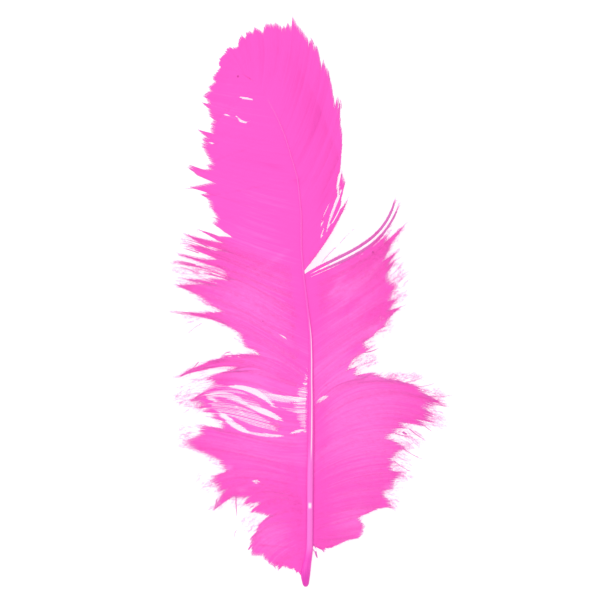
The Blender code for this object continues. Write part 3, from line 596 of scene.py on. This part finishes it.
def whole(locks):
    """The locks with bulges as shares and with the first spot of every edge."""
    end = None
    for first, last, near, far, lift, edge, *start in locks:
        edge = (*(start or [end]), *edge)
        end = edge[-1]
        yield first, last, near / 1000, far / 1000, lift, edge


def lock_barbs(locks, i, right):
    """The barbs that end at the spots of lock i's edge: root, tip, near, far, lift and place in the lock."""
    first, last, near, far, lift, edge = locks[i]
    joined = [0 <= j < len(locks) and locks[j][1 - k] == locks[i][k] for k, j in ((0, i - 1), (1, i + 1))]
    beside = [locks[j] if ok else locks[i] for ok, j in zip(joined, (i - 1, i + 1))]
    sides = np.array([[(v + w) / 2 for v, w in zip(locks[i][2:5], other[2:5])] for other in beside])
    out = -ROOT_PAST if right else ROOT_PAST
    roots = np.array([(shaft_at(y)[0] + out, y) for y in (first, last)])
    edge = np.array(edge)
    outer = edge[[0, -1]]
    ends = outer - bent(roots, outer, sides[:, 0], sides[:, 1], np.array([NEAR_END]), right)[:, 0]
    ends /= np.hypot(*ends.T)[:, None]
    off = [(e[0] * (edge[:, 1] - t[1]) - e[1] * (edge[:, 0] - t[0])) * (-1 if right else 1)
           for e, t in zip(ends, outer)]
    u = off[0] / np.maximum(0.01, off[0] - off[1])
    u[0], u[-1] = 0.0, 1.0
    step = EVEN_SHARE / (len(edge) - 1)
    for n in range(1, len(u)):
        u[n] = min(1.0 - step * (len(u) - 1 - n), max(u[n - 1] + step, u[n]))
    share = u[:, None]
    near, far, side_lift = (sides[0] * (1 - share) + sides[1] * share).T
    lifts = side_lift + (lift - side_lift) * 2 * np.minimum(u, 1 - u)
    return np.column_stack([roots[0] * (1 - share) + roots[1] * share, edge, near, far, lifts, u])


def vane_barbs(locks, right):
    """Every barb of one vane: its values as in lock_barbs, its lock and its run of joined locks."""
    rows, run, locks = [], 0, list(whole(locks))
    for i, lock in enumerate(locks):
        run += i > 0 and locks[i - 1][1] != lock[0]
        shaping = lock_barbs(locks, i, right)
        for a, b in zip(shaping, shaping[1:]):
            ends = bent(np.stack([a[:2], b[:2]]), np.stack([a[2:4], b[2:4]]), np.array([a[4], b[4]]),
                        np.array([a[5], b[5]]), GAP_PLACES, right)
            gap = np.hypot(*(ends[1] - ends[0]).T)
            slide = np.hypot(*(b[2:4] - a[2:4]))
            count = max(1, math.ceil(max(gap.max(), min(slide, MOST_SLIDE)) / BARB_PITCH))
            share = (np.arange(count)[:, None] + rng.uniform(*IN_SLOT, (count, 1))) / count
            barbs = a * (1 - share) + b * share
            rows.append(np.column_stack([barbs, np.full(count, i), np.full(count, run)]))
    return np.concatenate(rows)


def barb_paths(rows, right, samples):
    """The barbs' spots: their height is the web's slope, the lock's arch and the lift of its tip."""
    s = np.linspace(0, 1, samples)
    flat = bent(rows[:, :2], rows[:, 2:4], rows[:, 4], rows[:, 5], s, right)
    u = rows[:, 7]
    arch = LOCK_ARCH * 4 * u * (1 - u)
    z = slope_height(flat) + LIFT_SHARE * rows[:, 6][:, None] * s**3
    z = z + arch[:, None] * s * (1 - ARCH_FALLS * s) + VANE_TOP * BARB_LEVEL
    return np.concatenate([flat, z[..., None]], -1)


def sideways(paths):
    """Level unit vectors across the paths."""
    run = np.gradient(paths[..., :2], axis=1)
    run /= np.maximum(1e-6, np.hypot(run[..., 0], run[..., 1]))[..., None]
    return np.stack([-run[..., 1], run[..., 0], np.zeros(run.shape[:2])], -1)


def ribbons(paths, half, ridge):
    """Roof-shaped ribbons along every path, from their half widths and ridges: spots and faces."""
    count, samples = paths.shape[:2]
    side = sideways(paths) * half[..., None]
    top = paths + np.array([0, 0, 1.0]) * ridge[..., None]
    spots = np.stack([paths - side, top, paths + side], 2)
    start = (np.arange(count)[:, None] * samples + np.arange(samples - 1)[None, :]) * 3
    quads = [np.stack([start + k, start + 3 + k, start + 4 + k, start + 1 + k], -1) for k in (0, 1)]
    return spots.reshape(-1, 3), np.stack(quads, 2).reshape(-1, 4)


def shade_of(spots):
    """How light or dark the web looks at an array of spots, from its shades."""
    total = np.zeros(len(spots))
    for x, y, half_x, half_y, turn, amount in SHADES:
        dx, dy = spots[:, 0] - x, spots[:, 1] - y
        c, s = math.cos(math.radians(turn)), math.sin(math.radians(turn))
        total += amount * np.exp(-(((dx * c + dy * s) / half_x) ** 2 + ((dy * c - dx * s) / half_y) ** 2))
    return total


def openness(spots):
    """How open the web is at an array of spots, from its gaps: 0 is closed and 1 is gone."""
    most = np.zeros(len(spots))
    for x0, y0, x1, y1, bulge, width, amount in GAPS:
        dx, dy = x1 - x0, y1 - y0
        size = math.hypot(dx, dy)
        t = ((spots[:, 0] - x0) * dx + (spots[:, 1] - y0) * dy) / size**2
        off = ((spots[:, 1] - y0) * dx - (spots[:, 0] - x0) * dy) / size
        lens = 4 * np.clip(t, 0, 1) * (1 - np.clip(t, 0, 1))
        inside = 1 - np.abs(off - bulge * size * lens) / (width / 2 * np.sqrt(lens) + 1e-6)
        most = np.maximum(most, np.where(lens > 0, np.clip(inside * GAP_SIDES, 0, 1) * amount, 0))
    return most


def comb(x, y, longer):
    """How bare the barbs are beside the shaft on the left, at arrays of x and y."""
    wide = follow(COMB, y)
    wide = np.where(wide > 0, wide - longer, 0)
    away = shaft_at(y)[0] - x
    return np.clip((wide - away) / COMB_EDGE, 0, 1) * follow(COMB_START, away) * (wide > 0)


def make_vane(name, locks, right, mat):
    """One vane: every barb of its locks as a ribbon. Gives back the barbs, for the down to grow on."""
    rows = vane_barbs(locks, right)
    length = np.hypot(*(rows[:, 2:4] - rows[:, :2]).T)
    end = 1 + rng.normal(0, END_JITTER, len(rows)) / length
    rows[:, 2:4] = rows[:, :2] + (rows[:, 2:4] - rows[:, :2]) * end[:, None]
    lock, run = rows[:, 8].astype(int), rows[:, 9].astype(int)

    paths = barb_paths(rows, right, SAMPLES)
    side = sideways(paths)
    gap = np.zeros(paths.shape[:2])
    for step in (-1, 1):
        off = np.abs(((np.roll(paths, step, axis=0) - paths) * side).sum(-1))
        gap = np.maximum(gap, np.where((np.roll(run, step) == run)[:, None], off, 0.0))
    s = np.linspace(0, 1, SAMPLES)
    half = np.clip(gap * HALF_SHARE, HALF_LEAST, HALF_MOST) * follow(BARB_TAPER, s)

    firm = rng.uniform(*FIRMNESS, len(rows))[:, None]
    opened = openness(paths[..., :2].reshape(-1, 2)).reshape(half.shape)
    half = half * (1 - GAP_THINS * np.clip(opened * GAP_PULLS - firm * FIRM_HOLDS, 0, 1))
    if not right:
        bare = comb(paths[..., 0], paths[..., 1], (firm - MIDDLE_FIRMNESS) * COMB_VARIES)
        kept = rng.uniform(0, 1, (len(rows), 1)) < gap / COMB_PITCH
        half = half * (1 - bare) + np.minimum(half, COMB_HALF) * kept * bare
    paths[..., 2] += rng.uniform(-BARB_RISE, BARB_RISE, len(rows))[:, None]
    spots, faces = ribbons(paths, half, RIDGE * half / RIDGE_AT)

    per_barb = SAMPLES * 3
    tone = shade_of(spots[:, :2])
    tone += np.repeat(rng.normal(0, BARB_TONE, len(rows)), per_barb)
    tone += np.repeat(rng.normal(0, LOCK_TONE, len(locks))[lock], per_barb)
    strand = (np.bincount(run)[run] < STRAND_BARBS)[:, None] * follow(STRAND_MAUVE, s)
    outer = (np.roll(run, 1) != run) | (np.roll(run, -1) != run)
    mauve = np.maximum(strand, outer[:, None] * follow(OUTER_MAUVE, s))
    ends = np.tile(np.repeat(s, 3), len(rows))
    flow = np.column_stack([np.repeat(np.arange(len(rows)) * FLOW_STEP, per_barb),
                            ends * np.repeat(length, per_barb), np.zeros(len(ends))])
    ends = np.maximum(ends, np.repeat(mauve.ravel(), 3))
    add_mesh(name, spots, faces, mat, {"tone": tone, "ends": ends, "flow": flow})
    return rows


vane_mat, m, shader = material("dyed web of barbs", Roughness=VANE_ROUGH)
flow, tone, ends = m.attribute("flow", 1), m.attribute("tone"), m.attribute("ends")
long_spots = m.vector(flow.part("X") * LONG_ACROSS, flow.part("Y") * LONG_ALONG, 0.0)
fine_spots = m.vector(flow.part("X") * FINE_ACROSS, flow.part("Y") * FINE_ALONG, 4.0)
long_streaks, fine_streaks = m.noise(long_spots, 1.0, 3.0), m.noise(fine_spots, 1.0)
value = tone + (long_streaks - 0.5) * LONG_AMOUNT + (fine_streaks - 0.5) * FINE_AMOUNT
colour = m.blend(value.rise(*DEEP_TONES), DEEP_PINK, CLOSED_PINK)
colour = m.blend(value.rise(*THIN_TONES), colour, THIN_PINK)
tips = ends.rise(*TIP_STRETCH) * fine_streaks.rise(*TIP_STREAKS) * TIP_AMOUNT
colour = m.blend(tips + ends.rise(*BARE_STRETCH), colour, TIP_MAUVE)
place = m.node("TexCoord", out=3)
for x, y, radius in SPECKS:
    off_x, off_y = place.part("X") * PER_METRE - x, place.part("Y") * PER_METRE - y
    faded = (off_x * off_x + off_y * off_y).rise(SPECK_CORE * radius**2, radius**2)
    colour = m.blend((1.0 - faded) * SPECK_DEPTH, colour, SPECK_RED)
colour_from(shader, colour, fine_streaks, BARB_BUMP)
left_rows = make_vane("vane_left", LEFT_LOCKS, False, vane_mat)
right_rows = make_vane("vane_right", RIGHT_LOCKS, True, vane_mat)

# Down
# Low on both sides the barbs carry no hooks. Their barbules are long, soft threads of keratin that stand
# off in pairs, so these parts are fluffy and end in a haze. Every downy barb here runs on past its lock
# as a fine thread, with barbules along it.

# A barb is downy when its tip lies below these y, left and right, and its root below the third. Below the
# last one, the lobes by the quill have clipped edges without down
DOWN_BELOW_LEFT, DOWN_BELOW_RIGHT, DOWN_ROOTS_BELOW = 24.0, 29.0, 9.0
CLIPPED_BELOW = -58.0

# The thread past a barb's end: samples, the longest and the usual share of it, the spread of its course and
# curl in radians, the share it sinks, its waves, its least height, its half width, taper and ridge
THREAD_SAMPLES = 9
THREAD_LONGEST = 2.6
THREAD_USUAL = 0.4
THREAD_COURSE, THREAD_CURL = 0.12, 0.2
THREAD_SINKS = 0.5
THREAD_WAVES = 0.25
THREAD_LOW = 0.12
THREAD_HALF = 0.032
THREAD_TAPER = ((0, 1), (0.7, 0.75), (1, 0.15))
THREAD_RIDGE = 0.6

# Samples of a barb for its end's course, and for its barbules
END_SAMPLES, BODY_SAMPLES = 12, 18

# Barbules on the downy barbs and on their threads: distance, shortest, longest, and the bare share
BARB_BARBULES = (0.37, 0.5, 1.2, 0.12)
EDGE_BARBULES = (0.2, 0.4, 1.1)

# A barbule's three stations: share of its length, turn off its barb in radians and share of its half width;
# then that half width, its corners, its spread, the most open web it grows in, and its least height
STATIONS = ((0.0, 0.6, 1.0), (0.5, 0.6, 0.8), (1.0, 0.35, 0.0))
BARBULE_HALF = 0.016
BARBULE_CORNERS = 5
BARBULE_DIFFERS = 0.12
BARBULES_TO = 0.3
BARBULE_LOW = 0.05

# How pale threads and edge barbules are, from 0 to 1, and the spread of their tones
THREADS_PALE, EDGE_PALE = 0.6, 0.8
THREAD_TONE, BARBULE_TONE = 0.3, 0.18

HAZE_PINK = (0.93, 0.31, 0.70)
DOWN_ROUGH = 0.8
CLOUD_SCALE, CLOUD_DEPTH = 900.0, 1.4
DOWN_TONES = (-0.9, 0.9)
HAZE_CLOUDS = (0.15, 0.55)


def curling(start, course, curl, length):
    """Level threads from an array of starts: they run on their course in radians and curl."""
    angle = course[:, None] + curl[:, None] * np.linspace(0, 1, THREAD_SAMPLES)
    step = length[:, None] / (THREAD_SAMPLES - 1)
    return start[:, None] + np.cumsum(np.stack([np.cos(angle) * step, np.sin(angle) * step], -1), 1)


def run_on(rows, right):
    """A thread on from the end of every barb: it curls a little and is mostly short."""
    paths = barb_paths(rows, right, END_SAMPLES)
    end, back = paths[:, -1], paths[:, -3]
    course = np.arctan2(end[:, 1] - back[:, 1], end[:, 0] - back[:, 0])
    course = course + rng.normal(0, THREAD_COURSE, len(rows))
    length = np.minimum(THREAD_LONGEST, rng.exponential(THREAD_LONGEST * THREAD_USUAL, len(rows)))
    flat = curling(end[:, :2], course, rng.normal(0, THREAD_CURL, len(rows)), length)
    s = np.linspace(0, 1, THREAD_SAMPLES)
    z = end[:, 2:] * (1 - THREAD_SINKS * s) + rng.normal(0, THREAD_WAVES, (len(rows), 1)) * s
    return np.concatenate([flat, np.maximum(THREAD_LOW, z)[..., None]], -1)


def barbules(paths, step, shortest, longest, start=0.0):
    """Pairs of bent threads along every path, each a quad and a triangle: spots and faces."""
    lengths = np.hypot(*np.diff(paths[..., :2], axis=1).transpose(2, 0, 1)).sum(1)
    counts = np.maximum(1, (lengths * (1 - start) / step).astype(int))
    which = np.repeat(np.arange(len(paths)), counts)
    place = (start + (1 - start) * rng.uniform(0, 1, len(which))) * (paths.shape[1] - 1)
    low = np.minimum(place.astype(int), paths.shape[1] - 2)
    closed = openness(paths[which, low, :2]) < BARBULES_TO
    which, low = which[closed], low[closed]
    share = (place[closed] - low)[:, None]
    a, b = paths[which, low], paths[which, low + 1]
    base = a * (1 - share) + b * share
    course = np.arctan2((b - a)[:, 1], (b - a)[:, 0])
    hand = rng.choice((-1, 1), len(which))
    length = rng.uniform(shortest, longest, len(which))[:, None]
    spots, at, before = [], base, 0.0
    for reach, turn, half in STATIONS:
        angle = course + hand * (turn + rng.normal(0, BARBULE_DIFFERS, len(which)))
        if reach:
            rise = rng.normal(0, BARBULE_DIFFERS, len(which))
            at = at + (reach - before) * length * np.stack([np.cos(angle), np.sin(angle), rise], -1)
        side = np.stack([-np.sin(angle), np.cos(angle), np.zeros(len(which))], -1) * BARBULE_HALF * half
        spots += [at - side, at + side] if half else [at]
        before = reach
    spots = np.stack(spots, 1)
    spots[..., 2] = np.maximum(BARBULE_LOW, spots[..., 2])
    first = np.arange(len(which)) * BARBULE_CORNERS
    quads = np.stack([first, first + 1, first + 3, first + 2], -1).tolist()
    points = np.stack([first + 2, first + 3, first + 4], -1).tolist()
    return spots.reshape(-1, 3), quads + points


def thread_piece(name, paths, half, mat, loose):
    """A piece of fine ribbons along paths, from one half width, or one for each, down to a point."""
    wide = np.full(len(paths), half)[:, None] * follow(THREAD_TAPER, np.linspace(0, 1, paths.shape[1]))
    spots, faces = ribbons(paths, wide, wide * THREAD_RIDGE)
    tone = shade_of(spots[:, :2]) + np.repeat(rng.normal(0, THREAD_TONE, len(paths)), paths.shape[1] * 3)
    add_mesh(name, spots, faces, mat, {"tone": tone, "loose": np.full(len(spots), loose)})


def barbule_piece(name, made, mat, loose):
    """A piece of barbules from their spots and faces."""
    spots, faces = made
    tones = rng.normal(0, BARBULE_TONE, len(spots) // BARBULE_CORNERS)
    tone = shade_of(spots[:, :2]) + np.repeat(tones, BARBULE_CORNERS)
    add_mesh(name, spots, faces, mat, {"tone": tone, "loose": np.full(len(spots), loose)}, False)


down_mat, m, shader = material("dyed down", Roughness=DOWN_ROUGH)
tone, loose = m.attribute("tone"), m.attribute("loose")
place = m.node("TexCoord", out=3)
cloud = m.noise(place, CLOUD_SCALE, 3.0)
colour = m.blend((tone + cloud * CLOUD_DEPTH - CLOUD_DEPTH / 2).rise(*DOWN_TONES), DEEP_PINK, THIN_PINK)
colour = m.blend((0.0 - loose).rise(0.0, 1.0), colour, TIP_MAUVE)
colour_from(shader, m.blend(loose * cloud.rise(*HAZE_CLOUDS), colour, HAZE_PINK))

for side, rows, right, below in (
    ("left", left_rows, False, DOWN_BELOW_LEFT), ("right", right_rows, True, DOWN_BELOW_RIGHT)
):
    downy = rows[(rows[:, 3] < below) & (rows[:, 1] < DOWN_ROOTS_BELOW)]
    body = barb_paths(downy, right, BODY_SAMPLES)
    ends = run_on(downy[downy[:, 3] > CLIPPED_BELOW], right)
    thread_piece(f"down_threads_{side}", ends, THREAD_HALF, down_mat, THREADS_PALE)
    inner, outer = barbules(body, *BARB_BARBULES), barbules(ends, *EDGE_BARBULES)
    barbule_piece(f"down_barbules_{side}", inner, down_mat, 0.0)
    barbule_piece(f"edge_barbules_{side}", outer, down_mat, EDGE_PALE)

# Stray barbs and fluff
# Single barbs and small clumps have come loose at the ragged edges. They are the same dyed keratin, still
# rooted in the vane, and lie beside it on the table.

# Loose barbs: from, to, sideways bulge as a share of their length, and half width in millimetres
STRAYS = (
    (-21.8, -54.2, -26.9, -58.6, 0, 0.22), (-29, 46.4, -31.2, 48, 0.05, 0.1),
    (-29.5, 31, -35, 31.5, 0.04, 0.07), (-27.5, 29, -30.6, 29.9, 0.05, 0.1),
    (-25, 22.6, -27.3, 23.5, 0.05, 0.1), (-24, 17.4, -31.5, 20, 0.03, 0.12),
    (-25, 15.2, -33.8, 18, 0.03, 0.1), (-28, 15, -35.2, 17.4, 0.03, 0.12),
    (-31, 13.4, -35.5, 14.8, 0.02, 0.14), (-28, 11.3, -36, 13, 0.04, 0.06),
    (-31.8, 10.1, -37.3, 11.3, 0.03, 0.14), (-31, 7.5, -36.2, 9.5, 0.06, 0.12),
    (-27, 7.5, -30, 8.7, 0.03, 0.1), (-27, 5.2, -30, 6.5, 0.03, 0.1), (-31, 5, -35.5, 6.3, 0.03, 0.1),
    (-28.7, 4.3, -37.4, 4.4, -0.05, 0.12), (-30, -3.5, -39, -3.2, -0.04, 0.11),
    (-26, -5, -29.5, -4.3, -0.05, 0.16), (-30, -6.2, -34, -9, 0.05, 0.06),
    (-22, -14.2, -24, -14.9, 0.1, 0.12), (-31, -17, -36.8, -21.6, -0.08, 0.12),
    (-30, -18.5, -35, -19, -0.05, 0.1), (-26, -55.4, -27, -58.6, -0.1, 0.13),
    (-20.5, -54, -20.3, -60, 0.03, 0.16), (-20.4, -64, -21.1, -66.3, 0.1, 0.06),
    (-15.5, -57.2, -16.8, -58.1, 0.1, 0.12), (1.2, 71.8, 0.3, 73.8, 0.05, 0.1),
    (3.6, 66.2, 3.8, 67.6, 0.1, 0.1), (8.2, 54.6, 7.9, 57.3, 0.05, 0.08),
    (8.9, 53.8, 8.7, 56.3, 0.05, 0.08), (3.4, 10.6, 8, 15.5, -0.05, 0.05),
    (8.5, 16, 12.8, 20.5, -0.04, 0.035), (22, 23, 24, 28.2, 0.06, 0.1), (22, 21.2, 24.7, 26.2, 0.06, 0.1),
    (22.2, 16.6, 26.1, 20.7, 0.06, 0.1), (20.8, 13, 22.5, 15.2, 0.06, 0.1),
    (21.6, 11, 24.1, 13.5, 0.06, 0.1), (22, 8.6, 23.8, 11.3, 0.06, 0.1), (23, 5.6, 25.6, 8, 0.06, 0.08),
    (23, -0.6, 24.4, 0.6, 0.08, 0.12), (23, -3.2, 25.5, -1.5, 0.08, 0.16),
    (15, -14.3, 19.2, -13.1, 0.1, 0.16), (11, -19, 13.3, -18.3, 0.1, 0.16),
    (15, -17.5, 17.5, -16.7, 0.1, 0.05), (22, -22.2, 23.3, -20.2, 0.1, 0.08),
    (27, -22.6, 31.5, -21.3, 0.08, 0.07), (30, -24, 35, -23, 0.06, 0.07),
    (33, -26.6, 40, -26.3, 0.06, 0.07), (34, -28.4, 39, -29.6, 0.04, 0.1),
    (33.2, -33.4, 35, -34, 0.04, 0.1), (32, -34.8, 34.3, -36.5, 0.03, 0.1),
    (28, -35.8, 32.2, -38.8, 0.04, 0.14), (24, -37, 29, -38.2, 0.03, 0.12),
    (26, -36.6, 27.4, -37.3, 0.03, 0.3), (26, -41, 31.5, -44.2, 0.06, 0.09),
    (23.5, -44.6, 28, -47.5, 0.06, 0.09), (21, -57.2, 23, -57.8, 0.05, 0.1),
    (8.6, 26.5, 9.9, 33.2, -0.06, 0.13), (7.6, 22.9, 10.2, 27.3, -0.04, 0.13),
    (8.3, 29.6, 9.1, 36.3, -0.04, 0.12), (0.6, -68.8, 1.7, -70.1, 0.1, 0.14),
    (1.65, -69.9, 2.2, -71.9, 0.02, 0.3), (1.2, -68, 1.9, -69.2, 0, 0.1), (3.4, -69.2, 4.1, -70.3, 0, 0.12),
    (-9.9, -74, -9.4, -75, 0, 0.1), (-8.2, -74.4, -8.8, -75.5, 0.1, 0.1),
)

# Clouds of fluff: middle, half sizes, their threads' course in degrees, length and number
HAZE = (
    (-27, 8, 5, 2.6, 165, 2.6, 110), (-33, 8, 4, 4, 172, 3.6, 70), (-31, 16, 4, 3, 165, 2.4, 30),
    (-31, -4, 4, 2, 185, 3, 40), (-32, -26, 4, 4.5, 205, 3.4, 110), (-30.5, -20.5, 3.6, 2, 200, 3, 50),
    (-33.5, -38, 3, 3.6, 190, 2.6, 50), (-28, -50, 3, 3.5, 200, 2.4, 40),
    (-15.5, -61.5, 3, 2.8, 215, 2, 60), (-22, -56, 4, 2, 215, 1.8, 30), (24.8, 4, 1.8, 6, 45, 2.4, 90),
    (23.4, 13, 1.6, 5, 50, 1.8, 30), (23.8, -21.6, 7, 1.4, 14, 2.4, 150),
    (33, -26.4, 3.4, 2.2, -14, 2.6, 80), (34.5, -33, 2.4, 3.2, -15, 2.8, 50),
    (27.5, -38, 3.4, 2.2, -25, 3.2, 60), (25.6, -46, 2.6, 5, -25, 2.6, 60),
    (23, -55.5, 1.8, 3.5, -15, 1.8, 30), (-19.5, -28.6, 7, 2.6, 158, 2.4, 160),
    (-10.5, -35, 3, 2, 165, 1.8, 60), (15, -17, 3, 2, 30, 2.4, 60), (20.5, -8, 2, 2.5, 40, 2, 26),
)

# Strays: samples, height over the web and the least one, barbules, how mauve they are and how pale those
STRAY_SAMPLES = 14
STRAY_HEIGHT, STRAY_LOW = 0.35, 0.15
STRAY_BARBULES = (0.14, 0.3, 0.9)
STRAY_MAUVE, STRAY_PALE = 0.75, 0.6

# Fluff: the spread of its threads' course and curl in radians, their lengths as shares, height over the
# web, its spread and the least one, half width and barbules
FLUFF_COURSE, FLUFF_CURL = 0.22, 0.35
FLUFF_LENGTHS = (0.4, 1.0)
FLUFF_HEIGHT = 0.3
FLUFF_RISE = (-0.2, 0.5)
FLUFF_LOW = 0.06
FLUFF_HALF = 0.022
FLUFF_BARBULES = (0.3, 0.4, 1.0)


def fluff_paths():
    """The threads of every cloud of fluff."""
    lots = []
    for x, y, half_x, half_y, course, length, count in HAZE:
        turn, away = rng.uniform(0, 2 * math.pi, count), np.sqrt(rng.uniform(0, 1, count))
        start = np.stack([x + half_x * away * np.cos(turn), y + half_y * away * np.sin(turn)], -1)
        angle = math.radians(course) + rng.normal(0, FLUFF_COURSE, count)
        size = rng.uniform(*FLUFF_LENGTHS, count) * length
        flat = curling(start, angle, rng.normal(0, FLUFF_CURL, count), size)
        z = slope_height(flat) + FLUFF_HEIGHT + rng.uniform(*FLUFF_RISE, (count, 1))
        lots.append(np.concatenate([flat, np.maximum(FLUFF_LOW, z)[..., None]], -1))
    return np.concatenate(lots)


strays = np.array(STRAYS)
s = np.linspace(0, 1, STRAY_SAMPLES)
flat = bent(strays[:, :2], strays[:, 2:4], strays[:, 4], strays[:, 4], s, False)
paths = np.concatenate([flat, np.maximum(STRAY_LOW, slope_height(flat) + STRAY_HEIGHT)[..., None]], -1)
thread_piece("stray_barbs", paths, strays[:, 5], down_mat, -STRAY_MAUVE)
barbule_piece("stray_barbules", barbules(paths, *STRAY_BARBULES), down_mat, STRAY_PALE)
fluff = fluff_paths()
thread_piece("fluff_threads", fluff, FLUFF_HALF, down_mat, 1.0)
barbule_piece("fluff_barbules", barbules(fluff, *FLUFF_BARBULES), down_mat, 1.0)

# Studio
# A plain white table top, lit faintly from below as well as by soft, even light from above, and a long
# lens straight over it.

WHITE = (1.0, 1.0, 1.0, 1.0)
FLOOR_SIZE = 3.0
FLOOR_HEIGHT = -0.00002
FLOOR_WHITE = (0.35, 0.35, 0.35, 1.0)
FLOOR_ROUGH = 0.9
FLOOR_GLOW = 0.78
ROOM_LIGHT = 0.92
LAMP_SIZE, LAMP_POWER = 0.9, 5.0
LAMP_PLACE = (-0.55, 0.45, 0.95)

# The picture's middle and width, the lens and its sensor in millimetres, and the nearest sight in metres
PICTURE_MIDDLE = (-2.66, 0.28)
PICTURE_WIDTH = 168.0
LENS, SENSOR = 180.0, 36.0
NEAREST = 0.05

floor_finish = dict(Base_Color=FLOOR_WHITE, Emission_Color=WHITE, Emission_Strength=FLOOR_GLOW)
floor_mat, m, shader = material("white table", Roughness=FLOOR_ROUGH, **floor_finish)
bpy.ops.mesh.primitive_plane_add(size=FLOOR_SIZE, location=(0, 0, FLOOR_HEIGHT))
floor = bpy.context.object
floor.name = "table_top"
floor.data.materials.append(floor_mat)

world = bpy.data.worlds.new("studio")
world.use_nodes = True
sky = world.node_tree.nodes["Background"].inputs
sky["Color"].default_value, sky["Strength"].default_value = WHITE, ROOM_LIGHT
bpy.context.scene.world = world

lamp = bpy.data.lights.new("softbox", "AREA")
lamp.size = LAMP_SIZE
lamp.energy = LAMP_POWER
softbox = bpy.data.objects.new("softbox", lamp)
softbox.location = LAMP_PLACE
softbox.rotation_euler = (-softbox.location).to_track_quat("-Z", "Y").to_euler()
bpy.context.scene.collection.objects.link(softbox)

camera = bpy.data.objects.new("camera", bpy.data.cameras.new("camera"))
camera.data.lens = LENS
camera.data.sensor_width = SENSOR
distance = PICTURE_WIDTH * MM / SENSOR * LENS
camera.location = (PICTURE_MIDDLE[0] * MM, PICTURE_MIDDLE[1] * MM, distance)
camera.data.clip_start = NEAREST
studio = bpy.context.scene
studio.collection.objects.link(camera)
studio.camera = camera
studio.view_settings.view_transform = "Standard"
